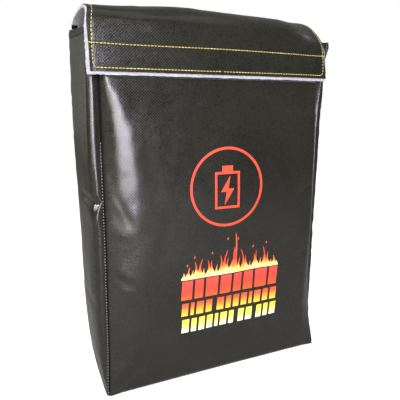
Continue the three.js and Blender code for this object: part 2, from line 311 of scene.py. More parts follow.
def weave_height(nt, uvout, pitch_mm):
    """Plain weave of round yarns, 0 to 1, on the cloth's own lengths."""
    sep = nt.nodes.new("ShaderNodeSeparateXYZ")
    nt.links.new(uvout, sep.inputs[0])
    k = math.pi * 1000.0 / pitch_mm
    u = math_node(nt, "MULTIPLY", sep.outputs[0], k)
    v = math_node(nt, "MULTIPLY", sep.outputs[1], k)
    cu = math_node(nt, "ABSOLUTE", math_node(nt, "SINE", u))
    cv = math_node(nt, "ABSOLUTE", math_node(nt, "SINE", v))
    # which yarn is on top changes at every crossing
    su, sv = math_node(nt, "COSINE", math_node(nt, "ADD", u, math.pi / 2)), math_node(nt, "COSINE", math_node(nt, "ADD", v, math.pi / 2))
    over = math_node(nt, "MULTIPLY_ADD", math_node(nt, "MULTIPLY", su, sv), 1.4, 0.5, clamp=True)
    a = math_node(nt, "MULTIPLY", cu, over)
    b = math_node(nt, "MULTIPLY", cv, math_node(nt, "SUBTRACT", 1.0, over))
    return math_node(nt, "MAXIMUM", a, b), over


def bump(nt, height, strength, dist, normal=None):
    n = nt.nodes.new("ShaderNodeBump")
    n.inputs["Strength"].default_value = strength
    n.inputs["Distance"].default_value = dist
    nt.links.new(height, n.inputs["Height"])
    if normal is not None:
        nt.links.new(normal, n.inputs["Normal"])
    return n.outputs[0]


def cloth_material(name, base=(0.0086, 0.0085, 0.0058), light=(0.0150, 0.0148, 0.0106), rough=0.245, pitch=1.35):
    m, nt, b = new_mat(name)
    uv = node(nt, "ShaderNodeUVMap").outputs[0]
    obj = node(nt, "ShaderNodeTexCoord").outputs["UV"]
    h, over = weave_height(nt, uv, pitch)
    big = noise(nt, obj, 16.0, 3.0)
    mid = noise(nt, obj, 90.0, 4.0, 0.6)
    fine = noise(nt, obj, 900.0, 2.0, 0.6)
    blotch = math_node(nt, "MULTIPLY_ADD", big, 0.7, math_node(nt, "MULTIPLY", mid, 0.3))
    col = mix_col(nt, ramp(nt, blotch, [(0.36, (0, 0, 0)), (0.66, (1, 1, 1))]), base, light)
    # yarns catch a little more light on top, the gaps are darker
    col = mix_col(nt, math_node(nt, "MULTIPLY", math_node(nt, "SUBTRACT", 1.0, h), 0.42), col, (0.004, 0.004, 0.003))
    # pale lint and dust
    lint = ramp(nt, noise(nt, obj, 420.0, 3.0, 0.7), [(0.715, (0, 0, 0)), (0.76, (1, 1, 1))])
    col = mix_col(nt, math_node(nt, "MULTIPLY", lint, 0.35), col, (0.30, 0.30, 0.28))
    nt.links.new(col, b.inputs["Base Color"])
    r = math_node(nt, "MULTIPLY_ADD", mid, 0.10, rough - 0.05)
    r = math_node(nt, "MULTIPLY_ADD", fine, 0.16, math_node(nt, "SUBTRACT", r, 0.08))
    r = math_node(nt, "MULTIPLY_ADD", over, -0.16, math_node(nt, "ADD", r, 0.085))
    # each crossing is pressed a little differently
    cell = node(nt, "ShaderNodeVectorMath", operation="SCALE")
    cell.inputs["Scale"].default_value = 1000.0 / pitch
    nt.links.new(uv, cell.inputs[0])
    flo = node(nt, "ShaderNodeVectorMath", operation="FLOOR")
    nt.links.new(cell.outputs[0], flo.inputs[0])
    wn_ = node(nt, "ShaderNodeTexWhiteNoise", noise_dimensions="3D")
    nt.links.new(flo.outputs[0], wn_.inputs["Vector"])
    r = math_node(nt, "MULTIPLY_ADD", wn_.outputs["Value"], 0.12, math_node(nt, "SUBTRACT", r, 0.06))
    nt.links.new(r, b.inputs["Roughness"])
    b.inputs["Specular IOR Level"].default_value = 0.5
    n1 = bump(nt, mid, 0.25, 0.0003)
    n2 = bump(nt, h, 1.0, 0.00003, n1)
    nt.links.new(n2, b.inputs["Normal"])
    return m


def felt_material(name, base=(0.40, 0.385, 0.43), dark=(0.22, 0.215, 0.23)):
    m, nt, b = new_mat(name)
    obj = node(nt, "ShaderNodeTexCoord").outputs["UV"]
    mp = node(nt, "ShaderNodeMapping")
    mp.inputs["Scale"].default_value = (1.0, 3.2, 1.0)
    mp.inputs["Rotation"].default_value = (0, 0, 0.6)
    nt.links.new(obj, mp.inputs[0])
    fib = noise(nt, mp.outputs[0], 620.0, 5.0, 0.7)
    fib2 = noise(nt, obj, 260.0, 4.0, 0.65)
    big = noise(nt, obj, 22.0, 2.0)
    col = mix_col(nt, ramp(nt, fib2, [(0.30, (0, 0, 0)), (0.62, (1, 1, 1))]), dark, base)
    col = mix_col(nt, math_node(nt, "MULTIPLY", big, 0.25), col, (0.50, 0.49, 0.45))
    nt.links.new(col, b.inputs["Base Color"])
    b.inputs["Roughness"].default_value = 0.95
    b.inputs["Specular IOR Level"].default_value = 0.2
    b.inputs["Sheen Weight"].default_value = 0.35
    b.inputs["Sheen Roughness"].default_value = 0.6
    n1 = bump(nt, fib2, 0.7, 0.0006)
    n2 = bump(nt, fib, 0.8, 0.0004, n1)
    nt.links.new(n2, b.inputs["Normal"])
    return m


def thread_material(name, base, rough=0.55):
    m, nt, b = new_mat(name)
    obj = node(nt, "ShaderNodeTexCoord").outputs["Object"]
    f = noise(nt, obj, 1400.0, 3.0, 0.6)
    g = noise(nt, obj, 60.0, 2.0, 0.6)
    dark = tuple(c * 0.5 for c in base)
    pale = tuple(min(1.0, c * 1.15 + 0.10) for c in base)
    col = mix_col(nt, ramp(nt, f, [(0.35, (0, 0, 0)), (0.65, (1, 1, 1))]), dark, base)
    col = mix_col(nt, ramp(nt, g, [(0.50, (0, 0, 0)), (0.68, (0.6, 0.6, 0.6))]), col, pale)
    nt.links.new(col, b.inputs["Base Color"])
    b.inputs["Roughness"].default_value = rough
    b.inputs["Sheen Weight"].default_value = 0.2
    nt.links.new(bump(nt, f, 0.5, 0.0003), b.inputs["Normal"])
    return m


def tape_material(name, base, kind):
    m, nt, b = new_mat(name)
    uv = node(nt, "ShaderNodeUVMap").outputs[0]
    if kind == "hook":
        vor = node(nt, "ShaderNodeTexVoronoi")
        vor.inputs["Scale"].default_value = 620.0
        vor.inputs["Randomness"].default_value = 0.25
        nt.links.new(uv, vor.inputs["Vector"])
        h = math_node(nt, "SUBTRACT", 1.0, math_node(nt, "MULTIPLY", vor.outputs["Distance"], 1.4), clamp=True)
        rough, strength, dist = 0.42, 1.0, 0.0009
    else:
        h = noise(nt, uv, 1100.0, 5.0, 0.75)
        rough, strength, dist = 0.95, 1.0, 0.0012
        b.inputs["Sheen Weight"].default_value = 0.4
    col = mix_col(nt, h, tuple(c * 0.35 for c in base), tuple(c * 1.6 for c in base))
    nt.links.new(col, b.inputs["Base Color"])
    b.inputs["Roughness"].default_value = rough
    nt.links.new(bump(nt, h, strength, dist), b.inputs["Normal"])
    return m


def print_material(name, stops, worn=0.35):
    """Transfer print: colour by height in the UV map's V, crazed where the weave breaks it."""
    m, nt, b = new_mat(name)
    uv = node(nt, "ShaderNodeUVMap").outputs[0]
    obj = node(nt, "ShaderNodeTexCoord").outputs["Object"]
    sep = nt.nodes.new("ShaderNodeSeparateXYZ")
    nt.links.new(uv, sep.inputs[0])
    wob = noise(nt, obj, 130.0, 3.0, 0.6)
    pos = math_node(nt, "ADD", math_node(nt, "MULTIPLY", sep.outputs[1], 1000.0), math_node(nt, "MULTIPLY_ADD", wob, 0.34, -0.17))
    col = ramp(nt, pos, stops)
    crack = ramp(nt, noise(nt, obj, 620.0, 4.0, 0.75), [(0.345, (1, 1, 1)), (0.40, (0, 0, 0))])
    col = mix_col(nt, math_node(nt, "MULTIPLY", crack, worn), col, (0.05, 0.045, 0.04))
    nt.links.new(col, b.inputs["Base Color"])
    b.inputs["Roughness"].default_value = 0.48
    fine = noise(nt, obj, 900.0, 3.0, 0.6)
    nt.links.new(bump(nt, fine, 0.5, 0.00025), b.inputs["Normal"])
    return m


CLOTH = cloth_material("coated_cloth")
FELT = felt_material("white_felt")
# painted shade: a near-black matte material for tubes laid deep in the corner grooves, standing in for their shadow
GROOVE_SHADE, _nt, _b = new_mat("painted_groove_shade")
_b.inputs["Base Color"].default_value = (0.003, 0.003, 0.0025, 1)
_b.inputs["Roughness"].default_value = 0.9
_b.inputs["Specular IOR Level"].default_value = 0.12
YELLOW = thread_material("yellow_thread", (0.66, 0.58, 0.13))
GREY = thread_material("grey_thread", (0.46, 0.46, 0.43))
HOOK = tape_material("hook_tape", (0.020, 0.020, 0.022), "hook")
LOOP = tape_material("loop_tape", (0.016, 0.016, 0.018), "loop")

# ------------------------------------------------------------------ bag body surfaces, in mm
ROOT, CROWN, FRONT = "bag", "flap_crown", "flap_front"
Z_TOP_F, Z_TOP_B = 357.0, 367.0
XL = Table([(0, 125.8), (10, 125.2), (60, 123.8), (156, 121.6), (242, 120.8), (317, 120.3), (367, 119.5)], 8)
XR = Table([(0, 130.0), (10, 128.2), (28, 125.2), (60, 122.8), (110, 121.4), (156, 120.8), (207, 121.3), (262, 122.2), (285, 123.8), (303, 126.0), (317, 127.2), (333, 127.8), (341, 128.4), (350, 128.6), (357, 128.6), (367, 128.6)], 3)
XB = Table([(0, 123.5), (40, 122.5), (367, 122.5)], 8)
YF = Table([(0, -43.6), (12, -42.2), (40, -39.6), (120, -38.6), (367, -38.6)], 8)  # front seam depth


def flare(z):
    """The right front corner of the mouth stands forward and out."""
    return 5.0 * sstep(z, 338, 352)

YB = Table([(0, 48.6), (30, 46.6), (120, 45.6), (367, 46.6)], 8)  # back seam depth
# how far the front stands out from its seams, and over what width it rolls back at each side
AF = Table([(0, 0.8), (20, 5.6), (60, 8.6), (120, 10.6), (200, 11.6), (262, 10.8), (292, 8.2), (312, 6.3), (330, 6.1), (367, 6.1)], 7)
WL_ = Table([(0, 20), (60, 33), (150, 34), (200, 33), (262, 28), (288, 20), (304, 11), (316, 7), (330, 6), (367, 6)], 5)
WR_ = Table([(0, 12), (40, 16), (90, 12), (150, 8), (262, 8.5), (290, 12), (312, 16), (330, 17), (367, 17)], 5)
CF = Table([(0, 0.6), (40, 1.8), (150, 2.2), (262, 1.2), (305, 0.0), (367, 0.0)], 10)  # slow swell of the middle
AB = Table([(0, 1.0), (30, 4.0), (120, 5.0), (300, 4.6), (367, 4.0)], 8)
BL = Table([(0, 1.2), (8, 3.2), (20, 6.0), (36, 9.0), (60, 11.0), (110, 12.9), (200, 12.5), (300, 10.7), (335, 10.0), (352, 9.0), (367, 8.4)], 5)
BR = Table([(0, 2.6), (8, 4.6), (20, 6.0), (60, 7.0), (90, 8.0), (120, 10.0), (200, 12.4), (262, 12.0), (300, 9.0), (317, 6.5), (345, 4.5), (367, 1.5)], 5)


def softmin(q, k=0.06):
    """Rises straight to 1 at q = 1 and stays there, the corner rounded by k."""
    k = np.asarray(k, float)
    f = lambda s: (s + 1 - np.sqrt((s - 1) ** 2 + k)) / 2
    return (f(q) - f(0.0)) / (1 - f(0.0))


def dent(u, v, u0, v0, ru, rv, depth, ang=0.0):
    """Smooth hollow (depth above 0) or swell, in panel lengths."""
    c, s = math.cos(ang), math.sin(ang)
    a, b = ((u - u0) * c + (v - v0) * s) / ru, (-(u - u0) * s + (v - v0) * c) / rv
    return depth * np.exp(-(a * a + b * b))


def crease(u, v, u0, v0, u1, v1, width, depth):
    """A fold line between two points: a valley with a soft ridge on each side."""
    L = math.hypot(u1 - u0, v1 - v0)
    du, dv = (u1 - u0) / L, (v1 - v0) / L
    s = ((u - u0) * du + (v - v0) * dv) / L
    d = (-(u - u0) * dv + (v - v0) * du) / width
    along = sstep(s, -0.25, 0.2) * (1 - sstep(s, 0.8, 1.25))
    return depth * along * (1 - 1.1 * d * d) * np.exp(-d * d)


LIFT = 1.1


def front_point(xn, z, detail=1.0):
    xl, xr = -XL(z), XR(z)
    x = xl + (xr - xl) * xn
    dl, dr = x - xl, xr - x
    A = AF(z)
    mid = (x - (xl + xr) / 2) / ((xr - xl) / 2)
    sharp = 0.042 + 0.05 * (1 - sstep(z, 100, 190))
    ql = softmin(dl / WL_(z), sharp)
    qc = np.clip(ql, 0, 1)
    ql = 1.42 * ql - 0.84 * 0.5 * (qc - 0.5 + np.sqrt((qc - 0.5) ** 2 + 0.012))  # steeper next to the seam
    depth = A * ql * softmin(dr / WR_(z), 0.10) + CF(z) * (1 - mid ** 2)
    # hollows and folds of the standing bag, as depth taken away
    h = 0.0
    h = h + dent(x, z, -104, 186, 7, 13, 0.8, 0.35) - dent(x, z, -93, 178, 5, 12, 0.3)
    h = h + crease(x, z, -106, 204, -94, 176, 4.0, 0.45) + crease(x, z, -112, 168, -98, 160, 5.0, 0.3)
    h = h + dent(x, z, -103, 150, 8, 12, 0.6, 0.1) + crease(x, z, -112, 128, -98, 118, 6, 0.5)
    h = h + crease(x, z, 84, 303, 112, 272, 8, 1.0) + dent(x, z, 103, 296, 10, 10, 1.4)
    h = h + crease(x, z, 96, 122, 117, 132, 5, 0.8) + crease(x, z, 92, 196, 117, 208, 7, 0.5)
    h = h + crease(x, z, 124, 3, 84, 34, 7, 1.0) + crease(x, z, -124, 3, -88, 30, 7, 0.9)
    h = h + crease(x, z, -60, 2, -66, 26, 6, 0.35) + crease(x, z, 38, 2, 30, 24, 7, 0.3)
    h = h + 0.55 * fbm(x / 46, z / 60, 3) + 0.16 * fbm(x / 15, z / 22, 8)
    # small puckers pulled by the stitches at each side seam
    for d, sd in ((dl, 11), (dr, 23)):
        h = h + 0.34 * np.exp(-((d - 5) / 6.0) ** 2) * noise2(z / 5.2, d / 14.0, sd)
    edge = sstep(dl, 0, 5) * sstep(dr, 0, 5) * sstep(z, 0, 8)
    under = 1 - 0.92 * sstep(z, 300, 318)  # pressed flat behind the closure
    y = YF(z) - depth + detail * h * edge * under
    y = y - flare(z) * np.exp(-((dr / 9.0) ** 2)) * sstep(xn, 0.5, 0.8)
    # the corner grooves
    g = np.exp(-((dl / 2.3) ** 2)) * (0.5 + 0.5 * sstep(z, 10, 50))
    x = x + 2.6 * g
    y = y + 2.4 * g
    g = np.exp(-((dr / 2.0) ** 2)) * (0.35 + 0.65 * sstep(z, 18, 60))
    x = x - 1.7 * g
    y = y + 1.5 * g
    # the lower edge turns under, and lifts a little between the corners
    y = y + 2.2 * np.exp(-((z / 3.0) ** 2)) * sstep(np.minimum(dl, dr), 0, 16)
    z = z + LIFT * np.exp(-((z / 14.0) ** 2)) * (1 - mid ** 2)
    return np.stack([x, y, np.broadcast_to(z, x.shape)], -1)


def back_point(xn, z, detail=1.0):
    xb = XB(z)
    x = -xb + 2 * xb * xn
    dl, dr = x + xb, xb - x
    depth = AB(z) * softmin(dl / 26, 0.12) * softmin(dr / 26, 0.12)
    h = 0.8 * fbm(x / 60, z / 70, 41) + 0.2 * fbm(x / 17, z / 24, 47)
    h = h + crease(x, z, -112, 214, -70, 190, 7, 0.9) + crease(x, z, 108, 140, 66, 120, 7, 0.8)
    h = h + crease(x, z, 124, 3, 84, 36, 7, 1.0) + crease(x, z, -124, 3, -86, 34, 7, 1.0) + dent(x, z, 0, 180, 70, 60, 1.4)
    for d, sd in ((dl, 51), (dr, 53)):
        h = h + 0.34 * np.exp(-((d - 5) / 6.0) ** 2) * noise2(z / 5.2, d / 14.0, sd)
    edge = sstep(dl, 0, 5) * sstep(dr, 0, 5) * sstep(z, 0, 8) * (1 - sstep(z, 330, 356))
    y = YB(z) + depth - detail * h * edge
    for d, sgn in ((dl, 1), (dr, -1)):
        g = np.exp(-((d / 2.0) ** 2)) * (1 - sstep(z, 352, 366))
        x = x + sgn * 1.7 * g
        y = y - 1.5 * g
    y = y - 2.2 * np.exp(-((z / 3.0) ** 2)) * sstep(np.minimum(dl, dr), 0, 16)
    return np.stack([x, y, np.broadcast_to(z, x.shape)], -1)


def gusset_point(side, t, z, detail=1.0):
    """t runs from the front seam to the back seam."""
    xs = XL(z) if side < 0 else XR(z)
    B = BL(z) if side < 0 else BR(z)
    yf, yb = YF(z) - (flare(z) if side > 0 else 0.0), YB(z) + 3.0 * sstep(z, 318, 357)
    y = yf + (yb - yf) * t
    base = xs + (XB(z) - xs) * t
    s = np.sin(math.pi * np.clip(t, 0, 1))
    if side < 0:
        # the cloth rolls forward of the seam before it turns back along the side
        wz = 0.20 + 0.80 * sstep(z, 140, 280)
        q = np.clip(t / 0.115, 0, 1)
        nose = 0.80 * B * (1 - (1 - q) ** 1.5)
        full = 0.80 * B
        dep = 0.115 * (yb - yf)
        roll = 0.15 * nose + 0.010 * nose ** 2 + (dep - 0.15 * full - 0.010 * full ** 2) * q ** 8
        rear = 1 - np.clip((t - 0.93) / 0.07, 0, 1) ** 2.2  # turns in to meet the back panel's edge
        bulge = (1 - wz) * B * np.power(np.maximum(s, 0.0), 0.5) + wz * ((nose + 1.1 * sstep(t, 0.35, 0.9)) * rear + 0.20 * B * s)
        y = y + wz * (roll - dep * q)
    else:
        bulge = B * np.power(np.maximum(s, 0.0), 0.24 + 0.2 * (1 - sstep(z, 30, 110)))
    dy = y - yf
    h = 0.5 * fbm(y / 34 + 5 * side, z / 50, 61) + 0.15 * fbm(y / 12, z / 18, 67)
    if side < 0:
        h = h + crease(dy, z, -8, 201, 30, 206, 5.0, 2.4) - dent(dy, z, 6, 188, 10, 7, 1.6) + dent(dy, z, 30, 150, 14, 40, 0.8)
        h = h + crease(dy, z, 4, 96, 60, 112, 8, 0.7) + crease(dy, z, 20, 312, 80, 300, 10, 0.6)
    else:
        h = h + crease(dy, z, 2, 150, 50, 160, 8, 1.4) + crease(dy, z, 10, 270, 70, 262, 8, 0.8)
    h = h + crease(dy, z, 0, 3, 34, 38, 6, 0.8) + crease(dy, z, 88, 3, 52, 38, 6, 0.8)
    for d, sd in ((dy, 71 + side), (yb - y, 75 + side)):
        h = h + 0.36 * np.exp(-((d - 5) / 5.0) ** 2) * noise2(z / 5.0, d / 12.0, sd)
    edge = sstep(dy, -3, 2) * sstep(yb - y, 0, 5) * sstep(z, 0, 8)
    x = base + bulge - detail * h * edge
    if side < 0:
        # a pinch across the rolled front of the gusset: a fold above, a facet turned up below
        roll_ = np.exp(-(((t - 0.06) / 0.06) ** 2)) * sstep(t, 0, 0.04)
        y = y + detail * roll_ * (1.4 * np.exp(-(((z - 201) / 4.5) ** 2)) - 1.0 * sstep(z, 168, 184) * (1 - sstep(z, 184, 199)))
    # the mouth edge leans in
    top = Z_TOP_F + (Z_TOP_B - Z_TOP_F) * t
    x = x - 2.6 * sstep(z, top - 10, top + 1) * s
    near = np.hypot(bulge, dy) if side < 0 else dy
    fr_ = np.exp(-((near / 2.0) ** 2)) * (0.5 + 0.5 * sstep(z, 10, 50))
    a_, b_ = (2.6, 2.4) if side < 0 else (1.7, 1.5)
    bk_ = np.exp(-(((yb - y) / 2.0) ** 2))
    x = x - a_ * fr_ - 1.7 * bk_
    y = y + b_ * fr_ - 1.5 * bk_
    return np.stack([side * x, y, np.broadcast_to(z, x.shape)], -1)


# ------------------------------------------------------------------ flap surface
# sections of the flap's outer face at its left end, middle and right end, from behind the rear fold to
# the front edge: (depth, height) in mm
SEC_M = [(51.6, 358), (51.3, 366), (50.7, 371), (48.4, 374.8), (43.8, 378.2), (36.4, 381.3), (26, 384), (14, 385.8), (2, 386.4), (-10, 385.6), (-21, 383.4), (-31.5, 380.2), (-40.5, 375.8), (-47, 370.4), (-50.6, 364.2), (-51.7, 357.5), (-51.8, 350), (-51.5, 340), (-51.2, 330), (-50.9, 319.1), (-50.8, 316.3)]
SEC_L = [(49.4, 358), (49.2, 365.5), (48.2, 370), (45.2, 373.4), (40, 376), (32.4, 377.9), (22.6, 379), (11.6, 379.4), (0, 379.5), (-11, 379.2), (-21.4, 378.4), (-31.2, 376.8), (-40, 374), (-46.8, 369.6), (-50.2, 363.6), (-51.1, 357), (-51.2, 350), (-50.9, 340), (-50.7, 330), (-50.5, 319.1), (-50.4, 316.3)]
SEC_R = [(49.4, 358), (49.2, 365.5), (48.3, 369.4), (45.4, 372.6), (40.4, 375.6), (34, 378.4), (26, 380.8), (17.6, 382.4), (9, 383), (0.5, 382.8), (-8, 381.4), (-16, 378.4), (-24, 373.4), (-31.4, 367.8), (-38.0, 362.4), (-43.6, 356.6), (-46.8, 349.6), (-47.8, 340), (-48.0, 330), (-48.0, 319.1), (-48.0, 316.3)]
SECS = np.array([SEC_L, SEC_M, SEC_R], float)
K_END_CLOTH, K_END_FELT = 18.93, 19.55
EDGE_L = Table([(0, 127.4), (30, 127.6), (70, 127.0), (100, 126.4), (125, 126.8), (138, 128.6), (148, 129.6), (165, 129.8), (185, 129.6), (200, 129.2)], 4)
EDGE_R = Table([(0, 125.6), (30, 125.6), (70, 125.0), (85, 125.0), (105, 124.4), (125, 123.2), (145, 122.6), (160, 123.0), (175, 124.2), (190, 125.0), (200, 125.4)], 4)


CROWN_DZ = Table([(-127, -0.4), (-118, -0.3), (-105, -0.3), (-95, -0.9), (-84, -1.3), (-72, -1.5), (-60, -1.3), (-46, -0.5), (-34, 0.0), (-24, 0.3), (-12, 0.4), (0, 0.0), (14, -0.9), (28, -1.1), (42, -1.5), (56, -2.1), (70, -2.5), (86, -1.7), (101, -0.5), (114, 0.7), (126, 0.0)], 6)


def catmull(C, t):
    """C (..., K, 2) control points, t (...) from 0 to K-1."""
    K = C.shape[-2]
    i = np.clip(np.floor(t).astype(int), 0, K - 2)
    f = (t - i)[..., None]
    take = lambda j: np.take_along_axis(C, np.clip(j, 0, K - 1)[..., None, None].repeat(2, -1), axis=-2)[..., 0, :]
    p0, p1, p2, p3 = take(i - 1), take(i), take(i + 1), take(i + 2)
    return 0.5 * ((2 * p1) + (-p0 + p2) * f + (2 * p0 - 5 * p1 + 4 * p2 - p3) * f ** 2 + (-p0 + 3 * p1 - 3 * p2 + p3) * f ** 3)


def flap_point(xn, t, detail=1.0):
    """xn from 0 at the felt's left edge to 1 at its right edge, t along the section."""
    xn, t = np.broadcast_arrays(np.asarray(xn, float), np.asarray(t, float))
    el, er = -EDGE_L(t * 10), EDGE_R(t * 10)
    x = el + (er - el) * xn
    wl = 1 - sstep(x, -128, -52)
    wr = sstep(x, 66, 124)
    w = np.stack([wl, 1 - wl - wr, wr], -1)
    C = np.einsum("...s,skc->...kc", w, SECS)
    p = catmull(C, t)
    y, z = p[..., 0], p[..., 1]
    z = z + CROWN_DZ(x) * sstep(t, 2.4, 5) * (1 - sstep(t, 11.5, 14.5))
    tail = np.clip(1 - (er - x) / 6.5, 0, 1) * sstep(t, 6, 11)
    y = y + 3.0 * tail ** 2 * (1 - 0.6 * sstep(t, 17, 19))  # the right edge curls back
    P = np.stack([x, y, z], -1)
    if detail:
        n = section_normal(P, C, t)
        s = t * 8.0
        h = 0.5 * fbm(x / 50, s / 34, 81) + 0.13 * fbm(x / 14, s / 14, 87)
        h = h + crease(x, t, 60, 12.5, 112, 9.2, 0.9, 0.3) + crease(x, t, -96, 13.4, -40, 12.2, 0.8, 0.5) + dent(x, t, 30, 13, 60, 1.2, 0.6)
        calm = 1 - 0.65 * sstep(t, 14.5, 16.5)
        calm = calm * sstep(t, 2.0, 5.0)
        P = P - n * (detail * h * calm)[..., None]
    return P


def section_normal(P, C, t):
    a = catmull(C, np.clip(t - 0.05, 0, C.shape[-2] - 1))
    b = catmull(C, np.clip(t + 0.05, 0, C.shape[-2] - 1))
    d = b - a
    d = d / np.maximum(np.linalg.norm(d, axis=-1, keepdims=True), 1e-9)
    # travel is from back to front over the top, so outwards is to the right of travel seen from +X
    return np.stack([np.zeros(d.shape[:-1]), d[..., 1], -d[..., 0]], -1)


def outward(P, ref):
    """Grid normals of P, turned to point the same way as ref(P)."""
    n = normals(P)
    s = np.sign(np.sum(n * ref, -1, keepdims=True).mean())
    return n * (1 if s >= 0 else -1)


def t_at_z(zv):
    """Section place on the front fall of the flap where its height is zv."""
    ts = np.linspace(14, 20, 601)
    zs = catmull(np.broadcast_to(SECS[1], (601,) + SECS[1].shape), ts)[:, 1]
    return float(np.interp(-zv, -zs, ts))


def uv_grid(P):
    """Arc lengths along both directions of a grid, in mm."""
    nu, nv = P.shape[:2]
    du = np.linalg.norm(np.diff(P[:, nv // 2], axis=0), axis=1)
    dv = np.linalg.norm(np.diff(P[nu // 2], axis=0), axis=1)
    u = np.concatenate([[0], np.cumsum(du)])
    v = np.concatenate([[0], np.cumsum(dv)])
    return np.stack(np.meshgrid(u, v, indexing="ij"), -1)


def dress(o, body, *nodes, slot=None):
    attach(o, body)
    if nodes:
        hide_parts(*nodes)
    return o


# ------------------------------------------------------------------ body panels
CT = 0.9  # cloth
FT = 2.1  # felt
NEG_Y, POS_Y = np.array([0, -1.0, 0]), np.array([0, 1.0, 0])

# front
xn = spread(0, 1, 110, 5, 5)
zf = np.concatenate([spread(1.0, 300, 128, 3, 0), np.linspace(302, Z_TOP_F, 28)])
XN, ZZ = np.meshgrid(xn, zf, indexing="ij")
Pf = front_point(XN, ZZ)
Nf = outward(Pf, NEG_Y)
o = layer("front_panel_cloth", Pf, Nf, CT, uv_grid(Pf), CLOTH)
dress(o, ROOT, "front_panel_shell", slot="coated_cloth")


def lining(name, point, lo, hi, rows, nodes, body=ROOT, ref=NEG_Y, cols=46, inset=0.024):
    a = np.linspace(inset, 1 - inset, cols)
    A, Z = np.meshgrid(a, np.linspace(lo, hi, rows), indexing="ij")
    P = point(A, Z)
    N = outward(P, ref)
    P = P - N * (CT + 0.25)
    k = 0.35 * fbm(P[..., 0] / 9 + P[..., 1] / 9, P[..., 2] / 9, 91)
    return layer(name, P, N, FT + k, uv_grid(P), FELT, rough_edge=0.25)


o = lining("front_panel_felt", lambda a, z: front_point(a, z, 0.8), 4.2, Z_TOP_F - 2, 90, None)
dress(o, ROOT, "front_panel_lining", slot="white_felt")

# back, going on over the rear fold up to the lap under the flap cloth
zb = np.concatenate([spread(1.0, 336, 112, 3, 0), np.linspace(338, 357.5, 9)])
tb = np.concatenate([np.linspace(0.0, 0.9, 6), np.linspace(0.96, 3.0, 26), np.linspace(3.1, 3.9, 7)])
xb = spread(0, 1, 96, 5, 5)
XBN, ZB = np.meshgrid(xb, zb, indexing="ij")


def back_with_fold(a, zs, ts, detail=1.0):
    A, Z = np.meshgrid(a, zs, indexing="ij")
    P = back_point(A, Z, detail)
    X = P[:, -1, 0]
    A2, T2 = np.meshgrid(a, ts, indexing="ij")
    el, er = -EDGE_L(0.0), EDGE_R(0.0)
    Xb = (-XB(360.0) + 2 * XB(360.0) * a)[:, None]
    full = np.where(Xb < 0, -el, er) / XB(360.0)
    Xb = Xb * (1 + (full - 1) * sstep(T2, 0.9, 2.1))
    xn2 = (Xb - el) / (er - el)
    F = flap_point(xn2, T2, 0.0)
    nF = normals(F)
    if np.mean(nF[:, 0, 1]) < 0:
        nF = -nF
    F = F - nF * 1.05
    F[..., 0] = Xb
    # ease the wall into the fold's depth
    w = sstep(Z, 322, 357.5)
    P[..., 1] = P[..., 1] * (1 - w) + F[:, :1, 1] * w
    return np.concatenate([P, F], axis=1)


Pb = back_with_fold(xb, zb, tb)
Nb = outward(Pb, POS_Y)
flipsafe = np.sum(Nb[:, :60] * POS_Y, -1).mean() > 0
o = layer("back_panel_cloth", Pb, Nb, CT, uv_grid(Pb), CLOTH)
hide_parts("back_panel_shell")
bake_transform(o)

al = np.linspace(0.024, 0.976, 44)
Pbl = back_with_fold(al, np.linspace(4.2, 356, 80), np.concatenate([np.linspace(0, 0.9, 5), np.linspace(1.0, 3.0, 18), np.linspace(3.15, 3.85, 5)]), 0.8)
Nbl = outward(Pbl, POS_Y)
Pbl = Pbl - Nbl * (CT + 0.2)
o = layer("back_panel_felt", Pbl, Nbl, FT + 0.3 * fbm(Pbl[..., 0] / 9, Pbl[..., 2] / 9, 97), uv_grid(Pbl), FELT, rough_edge=0.2)
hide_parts("back_panel_lining")
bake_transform(o)

# gussets
for side, nm in ((-1, "left"), (1, "right")):
    tt = spread(0, 1, 46, 5, 5)
    k = np.concatenate([spread(0, 0.93, 128, 3, 0), np.linspace(0.936, 1, 14)])
    T, Kk = np.meshgrid(tt, k, indexing="ij")
    ztop = Z_TOP_F + (Z_TOP_B - Z_TOP_F) * T
    Z = 1.0 + (ztop - 1.0) * Kk
    P = gusset_point(side, T, Z)
    ref = np.array([float(side), 0, 0])
    N = outward(P, ref)
    o = layer(nm + "_gusset_cloth", P, N, CT, uv_grid(P), CLOTH)
    dress(o, ROOT, nm + "_gusset_shell", slot="coated_cloth")
    T, Kk = np.meshgrid(np.linspace(0.05, 0.95, 20), np.linspace(0, 1, 90), indexing="ij")
    ztop = Z_TOP_F - 2 + (Z_TOP_B - Z_TOP_F) * T
    Z = 4.2 + (ztop - 4.2) * Kk
    P = gusset_point(side, T, Z, 0.8)
    N = outward(P, ref)
    P = P - N * (CT + 0.25)
    o = layer(nm + "_gusset_felt", P, N, FT + 0.3 * fbm(P[..., 1] / 9, P[..., 2] / 9, 101), uv_grid(P), FELT, rough_edge=0.25)
    dress(o, ROOT, nm + "_gusset_lining", slot="white_felt")

# folded hem along the top of each gusset; its cloth is made darker than the body cloth as painted shade, for the shadow
# under the flap
SHADED_HEM = cloth_material("hem_cloth_painted_shade", base=(0.005, 0.005, 0.004), light=(0.010, 0.010, 0.009), rough=0.55)
for side, nm in ((-1, "left"), (1, "right")):
    T, Kk = np.meshgrid(np.linspace(0.006, 0.994, 60), np.linspace(0, 1, 12), indexing="ij")
    ztop = Z_TOP_F + (Z_TOP_B - Z_TOP_F) * T
    low = 3.8 + 4.4 * T if side < 0 else 7.0 + 0 * T
    Z = ztop - low * (1 - Kk)
    P = gusset_point(side, T, Z)
    ref = np.array([float(side), 0, 0])
    N = outward(P, ref)
    lift = 0.35 + 0.35 * np.sin(math.pi * np.clip(Kk, 0, 1)) + 0.12 * noise2(T * 14, Kk * 2, 191)
    P = P + N * lift[..., None]
    P[..., 2] += 0.7 * Kk
    N = outward(P, ref)
    o = layer(nm + "_gusset_shaded_hem", P, N, 0.8, uv_grid(P), SHADED_HEM, rough_edge=0.1)
    dress(o, ROOT)

